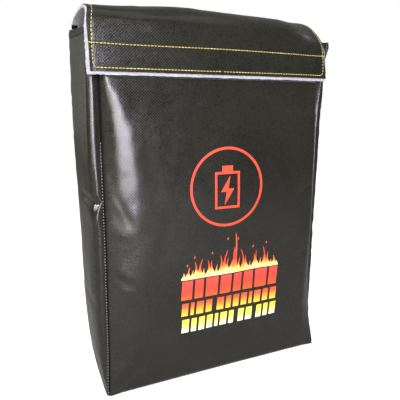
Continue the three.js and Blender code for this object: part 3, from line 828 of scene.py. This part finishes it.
# bottom: a cloth tray and its felt
a = np.linspace(0, 1, 60)
b = np.linspace(0, 1, 26)
A, Bv = np.meshgrid(a, b, indexing="ij")
fl, fr = front_point(a, np.full(60, 1.0), 0), back_point(a, np.full(60, 1.0), 0)
P = fl[:, None] * (1 - b[None, :, None]) + fr[:, None] * b[None, :, None]
gl = gusset_point(-1, b, np.full(26, 1.0), 0)
gr = gusset_point(1, b, np.full(26, 1.0), 0)
wl = np.clip(1 - A / 0.12, 0, 1) ** 2
wr = np.clip(1 - (1 - A) / 0.12, 0, 1) ** 2
P[..., 0] += wl * (gl[None, :, 0] - P[:1, :, 0]) + wr * (gr[None, :, 0] - P[-1:, :, 0])
rim = np.minimum(np.minimum(A, 1 - A) * 246, np.minimum(Bv, 1 - Bv) * 92)
P[..., 2] = 0.15 + LIFT * np.exp(-((Bv * 92 / 9.0) ** 2)) * (1 - (2 * A - 1) ** 2) + 0.9 * np.exp(-(rim / 3.0) ** 2) + 0.25 * (1 + fbm(A * 6, Bv * 3, 111)) * sstep(rim, 2, 14) * 0.4
N = outward(P, np.array([0, 0, -1.0]))
o = layer("bottom_panel_cloth", P, N, CT, uv_grid(P), CLOTH)
dress(o, ROOT, "bottom_panel_shell", slot="coated_cloth")
inn = 0.03
P2 = P.copy()
P2[..., 0] *= 1 - inn
P2[..., 1] = 2.0 + (P2[..., 1] - 2.0) * 0.94
P2[..., 2] = 1.3
N2 = np.broadcast_to(np.array([0, 0, -1.0]), P2.shape)
o = layer("bottom_panel_felt", P2, N2, FT + 0.3 * fbm(P2[..., 0] / 9, P2[..., 1] / 9, 117), uv_grid(P2), FELT, rough_edge=0.25)
dress(o, ROOT, "bottom_panel_lining", slot="white_felt")

# ------------------------------------------------------------------ flap
T_UP, T_LOW = t_at_z(342.7), t_at_z(322.7)
T0 = 2.45
xs_ = spread(0, 1, 120, 3, 3)
ts_ = np.concatenate([np.linspace(T0, 14, 76), np.linspace(14.1, T_UP - 0.16, 14), np.linspace(T_UP - 0.1, T_UP + 0.1, 5), np.linspace(T_UP + 0.16, T_LOW - 0.16, 14), np.linspace(T_LOW - 0.1, T_LOW + 0.1, 5), np.linspace(T_LOW + 0.14, K_END_CLOTH, 5)])
XF, TF = np.meshgrid(xs_, ts_, indexing="ij")
LIP_L = 1.2 + 1.5 * sstep(TF, 13.5, 18.0)  # how far the felt shows past the cloth
XF = (LIP_L / 253.0) + XF * (1 - LIP_L / 253.0 - 0.4 / 253.0)
P = flap_point(XF, TF)
up = np.array([0, -0.3, 1.0])
N = outward(P, up)
# stitches pull the cloth down, and it swells between the rows
EDGE_IN = 5.4 / 253.0
row = np.minimum(np.abs(TF - T_UP), np.abs(TF - T_LOW)) * 9.0
col = np.minimum(np.abs(XF - EDGE_IN), np.abs(XF - (1 - EDGE_IN))) * 252.0
pull = 0.55 * np.exp(-(row / 1.1) ** 2) + 0.16 * np.exp(-(col / 1.5) ** 2)
pull = pull * (0.8 + 0.2 * noise2(XF * 74, TF * 3.0, 131))
swell = 0.35 * np.exp(-((TF - (T_UP + T_LOW) / 2) / 1.0) ** 2) * sstep(col, 0, 20)
P = P - N * (pull - swell)[..., None]
N = outward(P, up)
o = layer("flap_cloth", P, N, CT, uv_grid(P), CLOTH, rough_edge=0.12, seed=7)
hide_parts("flap_crown_shell", "flap_front_shell")
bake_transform(o)

xs_ = spread(0, 1 - 0.9 / 253.0, 124, 1.5, 1.5)
ts_ = np.concatenate([np.linspace(3.98, 14, 60), np.linspace(14.2, 19.0, 34), np.linspace(19.15, K_END_FELT, 4)])
XF, TF = np.meshgrid(xs_, ts_, indexing="ij")
P = flap_point(XF, TF)
N = outward(P, up)
off = 1.05 + 1.15 * (1 - sstep(TF, 4.0, 5.4))
fuzz = 0.22 * fbm(P[..., 0] / 2.2, TF * 4.0, 141, 2) * sstep(TF, 15, 17)
P = P - N * (off + fuzz)[..., None]
thick = 2.15 + 0.25 * fbm(P[..., 0] / 10, TF, 143)
o = layer("flap_felt", P, N, thick, uv_grid(P), FELT, rough_edge=0.32, seed=17)
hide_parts("flap_crown_lining", "flap_front_lining")
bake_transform(o)


def on_flap(pts, lift=0.0):
    """Points (xn, t) on the flap cloth's outer face, with the outward direction there."""
    q = np.asarray(pts, float)
    P = flap_point(q[:, 0], q[:, 1])
    Pu = flap_point(q[:, 0] + 1e-3, q[:, 1])
    Pv = flap_point(q[:, 0], np.clip(q[:, 1] + 1e-2, 0, 20))
    Pw = flap_point(q[:, 0], np.clip(q[:, 1] - 1e-2, 0, 20))
    n = np.cross(Pu - P, Pv - Pw)
    n /= np.maximum(np.linalg.norm(n, axis=1, keepdims=True), 1e-9)
    if np.mean(n @ np.array([0, -0.3, 1.0])) < 0:
        n = -n
    return P - n * 0.42 + n * lift, n


def corner_path(side):
    """From behind the rear fold down one edge, round the corner, to the middle of the lower row."""
    e = EDGE_IN if side < 0 else 1 - EDGE_IN
    r = 3.2
    down = [(e, t) for t in np.linspace(T0 + 0.25, T_LOW - r / 9.0, 150)]
    sg = 1 if side < 0 else -1
    arc = [(e + sg * (r / 252.0) * (1 - math.cos(q)), T_LOW - (r / 9.0) * (1 - math.sin(q))) for q in np.linspace(0.15, math.pi / 2, 7)]
    run = [(x, T_LOW) for x in np.linspace(e + sg * (r + 1) / 252.0, 0.5 - sg * 0.001, 90)]
    return down, arc + run


lines_l, low_l = corner_path(-1)
lines_r, low_r = corner_path(1)
edge_l = on_flap(lines_l + low_l)
edge_r = on_flap(lines_r + low_r)
upper = on_flap([(x, T_UP + 0.03 * math.sin(x * 9)) for x in np.linspace(0.004, 0.996, 180)])
o = stitches("flap_edge_stitches", [edge_l, edge_r], YELLOW, jitter=0.06)
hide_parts("left_crown_edge_stitching", "right_crown_edge_stitching", "left_flap_edge_stitching", "right_flap_edge_stitching", "flap_lower_row_stitching")
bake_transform(o)
o = stitches("closure_row_stitches", [upper], YELLOW, jitter=0.06, seed=9, proud=0.34)
dress(o, FRONT, "flap_upper_row_stitching", slot="yellow_thread")
# lap seam behind the rear fold: two rows through the flap cloth's rear edge
lap = [on_flap([(x, t) for x in np.linspace(0.03, 0.97, 160)], 0.25) for t in (T0 + 0.3, T0 + 1.0)]
o = stitches("lap_seam_stitches", lap, YELLOW, jitter=0.05, seed=13)
dress(o, CROWN, "flap_lap_seam_stitching", slot="yellow_thread")

# ------------------------------------------------------------------ hook and loop
def tape(name, y_of, x1, z0, z1, t, mat, seed, cols=110):
    X, Z = np.meshgrid(np.linspace(-x1, x1, cols), np.linspace(z0, z1, 16), indexing="ij")
    Y = y_of(X, Z)
    P = np.stack([X, Y, Z], -1)
    P[..., 1] -= 0.12 * (1 + fbm(X / 2.0, Z / 2.0, seed, 2)) * sstep(np.minimum(np.minimum(X + x1, x1 - X), np.minimum(Z - z0, z1 - Z)), 0, 1.5)
    N = outward(P, NEG_Y)
    return layer(name, P, N, t, uv_grid(P), mat, rough_edge=0.08, seed=seed)


def front_y(X, Z):
    xl, xr = -XL(Z), XR(Z)
    return front_point(np.clip((X - xl) / (xr - xl), 0.01, 0.99), Z)[..., 1]


# the loop strip's own black pile; its lower edge runs down to z 315.6, past the flap's lower edge, so the strip showing
# there also serves as painted shade under the flap
o = tape("loop_strip_pile", lambda X, Z: front_y(X, Z) - 1.0, 113.0, 315.6, 344.8, 0.85, LOOP, 151)
dress(o, ROOT, "loop_strip", slot="loop_tape")
LOOPY = front_y


def flap_back_y(X, Z):
    """Depth of the flap felt's inner face."""
    t = np.interp(-Z, [-372.0, -357.5, -350, -340, -330, -319.1, -316.3], [12.6, 15, 16, 17, 18, 19, 20])
    P = flap_point(np.clip((X + 126) / 252, 0.01, 0.99), t)
    return P[..., 1] + 1.05 + 2.15


def hook_layer():
    X, Z = np.meshgrid(np.linspace(-119.5, 119.5, 110), np.linspace(320.2, 344.8, 16), indexing="ij")
    Y = flap_back_y(X, Z) + 1.0
    P = np.stack([X, Y, Z], -1)
    N = np.broadcast_to(POS_Y, P.shape)
    return layer("hook_strip_face", P, N, 0.75, uv_grid(P), HOOK, rough_edge=0.08, seed=157)


o = hook_layer()
dress(o, FRONT, "hook_strip", slot="hook_tape")

# rows that hold the loop strip, and the hem row at the mouth
def front_line(z, x1, lift=0.0, n=160):
    X = np.linspace(-x1, x1, n)
    Z = np.full(n, z)
    return np.stack([X, front_y(X, Z) - lift, Z], -1), np.broadcast_to(NEG_Y, (n, 3)).copy()


o = stitches("loop_strip_upper_stitches", [front_line(346.0, 112)], YELLOW, jitter=0.05, seed=21, proud=0.2)
dress(o, ROOT, "loop_strip_upper_stitching", slot="yellow_thread")
o = stitches("loop_strip_lower_stitches", [front_line(318.9, 112)], YELLOW, jitter=0.05, seed=22, proud=0.2)
dress(o, ROOT, "loop_strip_lower_stitching", slot="yellow_thread")
o = stitches("mouth_hem_stitches", [front_line(352.6, 113)], YELLOW, jitter=0.05, seed=23, proud=0.2)
dress(o, ROOT, "mouth_hem_stitching", slot="yellow_thread")


# ------------------------------------------------------------------ seam threads in the corner grooves, and painted groove shade under them
def groove_line(side, front, z0=4.0, z1=None, n=260):
    z1 = z1 or (Z_TOP_F - 2 if front else Z_TOP_B - 3)
    z = np.linspace(z0, z1, n)
    if front:
        p = front_point(np.full(n, 0.0 if side < 0 else 1.0), z, 0)
        out = np.array([side * 0.7, -0.7, 0])
    else:
        p = back_point(np.full(n, 0.0 if side < 0 else 1.0), z, 0)
        out = np.array([side * 0.7, 0.7, 0])
    return p + out * 0.35, np.broadcast_to(out, (n, 3)).copy()


for side, s_nm in ((-1, "left"), (1, "right")):
    for front, f_nm in ((True, "front"), (False, "back")):
        line, out_ = groove_line(side, front)
        # painted shade: a near-black tube along the groove bottom darkens the groove where its shadow falls
        V, F = tube_rows([line - out_ * (0.9 if side < 0 else 0.55)], 1.8 if side < 0 else 0.7, 8)
        o = make_object(f"{s_nm}_{f_nm}_painted_groove_shade", V, F, None, GROOVE_SHADE, sharp=0)
        dress(o, ROOT)
        # the upper stitches sit deep in the groove
        cut = int(0.73 * len(line))
        up = 0.85 if side < 0 else 0.1
        pair = [(line[:cut] + out_[:cut] * up, out_[:cut]), (line[cut:] - out_[cut:] * 0.25, out_[cut:])]
        o = stitches(f"{s_nm}_{f_nm}_seam_stitches", pair, GREY, pitch=3.0, length=0.85, radius=0.36, sink=0.4, proud=0.42, jitter=0.14, seed=31 + side)
        dress(o, ROOT, f"{s_nm}_{f_nm}_seam_thread", slot="grey_thread")
n = 200
xx = np.linspace(0.03, 0.97, n)
for front, f_nm in ((True, "front"), (False, "back")):
    p = (front_point if front else back_point)(xx, np.full(n, 1.1), 0)
    out = np.array([0, -0.8 if front else 0.8, -0.3])
    o = stitches(f"bottom_{f_nm}_seam_stitches", [(p + out * 0.05, np.broadcast_to(out, (n, 3)).copy())], GREY, pitch=4.1, length=2.2, radius=0.36, sink=0.45, proud=0.12, jitter=0.08, seed=41)
    dress(o, ROOT, f"bottom_{f_nm}_seam_thread", slot="grey_thread")
tt = np.linspace(0.08, 0.92, 120)
for side, s_nm in ((-1, "left"), (1, "right")):
    p = gusset_point(side, tt, np.full(120, 1.3), 0)
    out = np.array([side * 0.8, 0, -0.3])
    o = stitches(f"{s_nm}_bottom_seam_stitches", [(p + out * 0.05, np.broadcast_to(out, (120, 3)).copy())], GREY, pitch=4.1, length=2.2, radius=0.36, sink=0.45, proud=0.12, jitter=0.08, seed=43)
    dress(o, ROOT, f"{s_nm}_bottom_seam_thread", slot="grey_thread")


# ------------------------------------------------------------------ prints on the front
def print_piece(name, outlines, mat, z_span, step=2.2, lift=0.16):
    """outlines: closed lists of (x, z); the first is solid and an outline inside another is a hole."""
    pts, edges = [], []
    lo = np.min([np.min(o, 0) for o in outlines], 0)
    hi = np.max([np.max(o, 0) for o in outlines], 0)
    for o_ in outlines:
        o_ = np.asarray(o_, float)
        dense = []
        for i in range(len(o_)):
            a_, b_ = o_[i], o_[(i + 1) % len(o_)]
            k_ = max(1, int(np.linalg.norm(b_ - a_) // step))
            dense += [a_ + (b_ - a_) * j / k_ for j in range(k_)]
        s0 = len(pts)
        pts += [Vector(p) for p in dense]
        edges += [(s0 + i, s0 + (i + 1) % len(dense)) for i in range(len(dense))]
    gx, gz = np.meshgrid(np.arange(lo[0] + step, hi[0], step), np.arange(lo[1] + step, hi[1], step))
    pts += [Vector((float(x_), float(z_))) for x_, z_ in zip(gx.ravel(), gz.ravel())]
    v2, _, f2, *_ = geometry.delaunay_2d_cdt(pts, edges, [], 2, 1e-4)
    v2 = np.array([(v.x, v.y) for v in v2])

    def inside(px, pz):
        c = 0
        for o_ in outlines:
            o_ = np.asarray(o_, float)
            x0_, z0_ = o_[:, 0], o_[:, 1]
            x1_, z1_ = np.roll(x0_, -1), np.roll(z0_, -1)
            hit = ((z0_ > pz) != (z1_ > pz)) & (px < (x1_ - x0_) * (pz - z0_) / (z1_ - z0_ + 1e-12) + x0_)
            c += int(hit.sum())
        return c % 2 == 1

    f2 = [f for f in f2 if inside(*v2[list(f)].mean(0))]
    used = sorted({i for f in f2 for i in f})
    remap = {i: k for k, i in enumerate(used)}
    v2 = v2[used]
    X, Z = v2[:, 0], v2[:, 1]
    eps = 0.5
    xl, xr = -XL(Z), XR(Z)
    at = lambda x_, z_: front_point((x_ + XL(z_)) / (XR(z_) + XL(z_)), z_)
    P = at(X, Z)
    n_ = np.cross(at(X + eps, Z) - at(X - eps, Z), at(X, Z + eps) - at(X, Z - eps))
    n_ /= np.linalg.norm(n_, axis=1, keepdims=True)
    n_ *= np.sign(-n_[:, 1:2])
    V = P + n_ * lift
    F = [tuple(remap[i] for i in f) for f in f2]
    # face the front
    fixed = []
    for f in F:
        a_, b_, c_ = V[f[0]], V[f[1]], V[f[2]]
        fixed.append(f if np.cross(b_ - a_, c_ - a_)[1] < 0 else f[::-1])
    uvs = np.stack([X, (Z - z_span[0]) / (z_span[1] - z_span[0])], -1)
    me_o = make_object(name, V, fixed, uvs, mat, sharp=0)
    return me_o


def lin(c):
    return tuple(((v / 255.0 + 0.055) / 1.055) ** 2.4 if v > 10 else v / 255.0 / 12.92 for v in c)


RED = print_material("red_print", [(0.0, lin((226, 66, 40))), (1.0, lin((232, 72, 46)))])
RED_TXT = print_material("red_bar_print", [(0.0, lin((232, 84, 36))), (0.45, lin((228, 62, 40))), (1.0, lin((236, 70, 62)))], 0.5)
FLAME = print_material("flame_print", [(0.0, lin((250, 236, 170))), (0.12, lin((246, 200, 100))), (0.26, lin((232, 110, 46))), (0.5, lin((206, 54, 36))), (1.0, lin((214, 84, 50)))], 0.55)
ORANGE = print_material("orange_bar_print", [(0.0, lin((240, 196, 60))), (0.35, lin((238, 158, 44))), (0.75, lin((226, 92, 44))), (1.0, lin((224, 74, 44)))], 0.45)
YEL = print_material("yellow_bar_print", [(0.0, lin((255, 255, 226))), (0.3, lin((250, 246, 150))), (0.7, lin((226, 222, 70))), (1.0, lin((222, 212, 70)))], 0.4)

PX, EZ, ER = 4.0, 210.0, 41.0
circ = lambda r, k=96: [(PX + r * math.cos(2 * math.pi * i / k), EZ + r * math.sin(2 * math.pi * i / k)) for i in range(k)]
o = print_piece("emblem_ring", [circ(ER), circ(ER - 2.6)], RED, (160, 260))
dress(o, ROOT, "emblem_ring_print", slot="red_print")
bx, bz = 14.0, 22.0
body = [(PX - bx, EZ - bz), (PX + bx, EZ - bz), (PX + bx, EZ + bz - 6), (PX + 6, EZ + bz - 6), (PX + 6, EZ + bz), (PX - 6, EZ + bz), (PX - 6, EZ + bz - 6), (PX - bx, EZ + bz - 6)]
hollow = [(PX - bx + 2.4, EZ - bz + 2.4), (PX + bx - 2.4, EZ - bz + 2.4), (PX + bx - 2.4, EZ + bz - 8.4), (PX - bx + 2.4, EZ + bz - 8.4)]
bolt = [(PX + p, EZ - 1 + q) for p, q in [(3, 13), (-7.5, -3.5), (-1, -3.5), (-3, -17.5), (7.5, -0.5), (1, -0.5)]]
o = print_piece("emblem_battery", [body, hollow, bolt], RED, (160, 260), step=1.6)
dress(o, ROOT, "emblem_battery_print", slot="red_print")

X0, X1, FZ = -47.5, 68.5, 118.0


def tongue(cx, w, h, lean, curl):
    """One flame tongue, a leaning drop with a curled tip."""
    L, R_ = [], []
    for k in np.linspace(0, 1, 12):
        half = w * (1 - k) ** 0.8 * (0.72 + 0.28 * math.cos(k * 5.2))
        c = cx + lean * k ** 1.4 * h + curl * math.sin(k * math.pi) * h
        L.append((c - half, FZ + k * h))
        R_.append((c + half, FZ + k * h))
    return L + R_[::-1][1:]


def envelope(f):
    """Height of the fire along the row."""
    pts = [(0, 7), (0.05, 10), (0.12, 17), (0.2, 20), (0.28, 17), (0.36, 22), (0.43, 27), (0.47, 34), (0.5, 44), (0.54, 32), (0.6, 24), (0.68, 19), (0.76, 20), (0.83, 23), (0.9, 17), (0.96, 12), (1, 8)]
    return float(np.interp(f, [p[0] for p in pts], [p[1] for p in pts]))


parts = []
for i in range(34):
    f = (i + 0.5) / 34 + 0.006 * hash2(np.int64(i), np.int64(1), 201)
    r1, r2, r3 = (float(hash2(np.int64(i), np.int64(k), 203)) for k in (2, 3, 4))
    tall = 1.0 if i % 2 == 0 else 0.58
    h_ = envelope(f) * tall * (0.92 + 0.14 * r1)
    if abs(f - 0.5) < 0.03:
        h_ = 44.0 if i % 2 == 0 else 26.0
    w_ = 2.3 + 0.10 * h_ * 0.5 + 0.3 * r2
    cx = X0 + (X1 - X0) * min(max(f, 0.02), 0.98)
    parts.append(print_piece(f"flame_{i:02d}", [tongue(cx, w_, h_, 0.16 * r3, 0.09 * (1 if i % 4 < 2 else -1))], FLAME, (FZ, FZ + 30), step=1.5, lift=0.14 + 0.025 * (i % 3)))
parts.append(print_piece("flame_base", [[(X0, FZ - 1.2), (X1, FZ - 1.2), (X1, FZ + 1.4), (X0, FZ + 1.4)]], FLAME, (FZ - 2, FZ + 28), lift=0.22))
for i, (f, h_) in enumerate([(0.13, 22), (0.3, 24), (0.455, 37), (0.56, 36), (0.72, 25), (0.865, 27), (0.06, 14)]):
    cx = X0 + (X1 - X0) * f
    parts.append(print_piece(f"spark_{i:02d}", [[(cx - 0.7, FZ + h_ - 1.6), (cx + 0.8, FZ + h_), (cx + 0.2, FZ + h_ + 2.0), (cx - 0.9, FZ + h_ + 0.3)]], FLAME, (FZ, FZ + 30), lift=0.16))
bpy.ops.object.select_all(action="DESELECT")
for p_ in parts:
    p_.select_set(True)
bpy.context.view_layer.objects.active = parts[0]
bpy.ops.object.join()
o = bpy.context.view_layer.objects.active
o.name = "flame_row"
dress(o, ROOT, "flame_print", slot="flame_print")


def blocks(name, z0, z1, widths, gap, mat, node_name, slot):
    """A band of plain slanted blocks between two heights."""
    total = sum(abs(w_) for w_ in widths) + gap * (sum(1 for w_ in widths if w_ > 0) - 1)
    k = (X1 - X0) / total
    x = X0
    outl = []
    for w_ in widths:
        if w_ < 0:  # an empty stretch
            x += -w_ * k
            continue
        w2 = w_ * k
        sl = 1.2
        outl.append([(x, z0), (x + w2 - sl, z0), (x + w2, z1), (x + sl, z1)])
        x += w2 + gap * k
    objs = [print_piece(f"{name}_{i}", [q], mat, (z0, z1), step=2.4) for i, q in enumerate(outl)]
    bpy.ops.object.select_all(action="DESELECT")
    for p_ in objs:
        p_.select_set(True)
    bpy.context.view_layer.objects.active = objs[0]
    bpy.ops.object.join()
    b_ = bpy.context.view_layer.objects.active
    b_.name = name
    dress(b_, ROOT, node_name, slot=slot)


blocks("upper_bar", 94.5, 115.5, [12, 10, 14, 13, 10, 12, 15, 11], 1.6, RED_TXT, "upper_bar_print", "red_print")
blocks("middle_bar", 76.5, 90.5, [8, 5, 9, 8, -3, 9, 7, 8, 8, 5, 9, 8, 9], 1.4, ORANGE, "middle_bar_print", "orange_print")
blocks("lower_bar", 57.5, 72.5, [9, 7, 8, 8, 5, 9, 7, -3, 8, 9, -3, 8, 7, 9], 1.4, YEL, "lower_bar_print", "yellow_print")

# ------------------------------------------------------------------ floor, lights, camera
fl_me = bpy.data.meshes.new("floor")
fl_me.from_pydata([(-6, -6, -0.0004), (6, -6, -0.0004), (6, 6, -0.0004), (-6, 6, -0.0004)], [], [(0, 1, 2, 3)])
floor = bpy.data.objects.new("floor", fl_me)
bpy.context.scene.collection.objects.link(floor)
fm, fnt, fb = new_mat("floor_pale")
fb.inputs["Base Color"].default_value = (0.5, 0.5, 0.5, 1)
fb.inputs["Roughness"].default_value = 0.9
fb.inputs["Specular IOR Level"].default_value = 0.1
fe = fnt.nodes.new("ShaderNodeEmission")
fe.inputs[1].default_value = 0.96
fadd = fnt.nodes.new("ShaderNodeAddShader")
fmix = fnt.nodes.new("ShaderNodeMixShader")
flp = fnt.nodes.new("ShaderNodeLightPath")
fnt.links.new(fb.outputs[0], fadd.inputs[0])
fnt.links.new(fe.outputs[0], fadd.inputs[1])
fnt.links.new(flp.outputs["Is Camera Ray"], fmix.inputs[0])
fnt.links.new(fb.outputs[0], fmix.inputs[1])
fnt.links.new(fadd.outputs[0], fmix.inputs[2])
fnt.links.new(fmix.outputs[0], fnt.nodes["Material Output"].inputs[0])
AMBIENT = 0.235
fl_me.materials.append(fm)

bpy.context.scene.view_settings.view_transform = "Standard"
world = bpy.data.worlds.new("studio")
bpy.context.scene.world = world
world.use_nodes = True
wn = world.node_tree
bg = wn.nodes["Background"]
bg.inputs[0].default_value = (1.0, 1.0, 0.94, 1)
bg.inputs[1].default_value = AMBIENT
white = wn.nodes.new("ShaderNodeBackground")
white.inputs[0].default_value = (1.0, 1.0, 1.0, 1)
white.inputs[1].default_value = 1.0
seen = wn.nodes.new("ShaderNodeLightPath")
wmix = wn.nodes.new("ShaderNodeMixShader")
wn.links.new(seen.outputs["Is Camera Ray"], wmix.inputs[0])
wn.links.new(bg.outputs[0], wmix.inputs[1])
wn.links.new(white.outputs[0], wmix.inputs[2])
wn.links.new(wmix.outputs[0], wn.nodes["World Output"].inputs[0])


def area(name, az, el, dist, sx, sy, power, color=(1, 1, 1), target=(0, 0, 0.2)):
    """A soft panel: az 0 is in front (towards -Y), positive to the bag's left as the camera sees it."""
    l = bpy.data.lights.new(name, "AREA")
    l.shape = "RECTANGLE"
    l.size, l.size_y = sx, sy
    l.energy = power
    l.color = color
    ob = bpy.data.objects.new(name, l)
    a_, e_ = math.radians(az), math.radians(el)
    d_ = Vector((-math.sin(a_) * math.cos(e_), -math.cos(a_) * math.cos(e_), math.sin(e_)))
    ob.location = Vector(target) + d_ * dist
    ob.rotation_euler = d_.to_track_quat("Z", "Y").to_euler()
    bpy.context.scene.collection.objects.link(ob)
    return ob


area("left_softbox", 13, 9, 1.25, 0.19, 1.05, 24, (0.90, 0.87, 1.0), (0, 0, 0.27))
area("left_side", 26, 9, 1.2, 0.16, 1.0, 7.5, (1.0, 0.98, 0.80), (0, 0, 0.29))
area("left_back", 140, 14, 1.3, 0.6, 0.9, 0.8, (1.0, 0.94, 0.80), (0, 0, 0.26))
area("arch", 66, 15, 1.2, 0.25, 0.12, 9, (1, 1, 0.96), (-0.12, 0, 0.37))
area("right_rim", -100, 12, 1.2, 0.3, 1.0, 3.2, (0.93, 0.93, 1.0), (0, 0, 0.25))
area("top", 0, 76, 1.3, 1.2, 0.9, 2.2, (1, 1, 1), (0, 0.05, 0.3))

cam_d = bpy.data.cameras.new("camera")
cam = bpy.data.objects.new("camera", cam_d)
bpy.context.scene.collection.objects.link(cam)
bpy.context.scene.camera = cam
yaw, pitch, roll_ = math.radians(23.3), math.radians(12.0), math.radians(-0.2)
f_ = Vector((math.sin(yaw) * math.cos(pitch), math.cos(yaw) * math.cos(pitch), -math.sin(pitch)))
r_ = Vector((math.cos(yaw), -math.sin(yaw), 0))
u_ = r_.cross(f_)
cr, sr = math.cos(roll_), math.sin(roll_)
R2, U2 = r_ * cr + u_ * sr, u_ * cr - r_ * sr
cam.matrix_world = Matrix(((R2.x, U2.x, -f_.x, -0.1888), (R2.y, U2.y, -f_.y, -0.42835), (R2.z, U2.z, -f_.z, 0.2865), (0, 0, 0, 1)))
cam_d.sensor_width = 36.0
cam_d.lens = 421.4 / 400 * 36.0
cam_d.clip_start = 0.01
cam_d.clip_end = 50
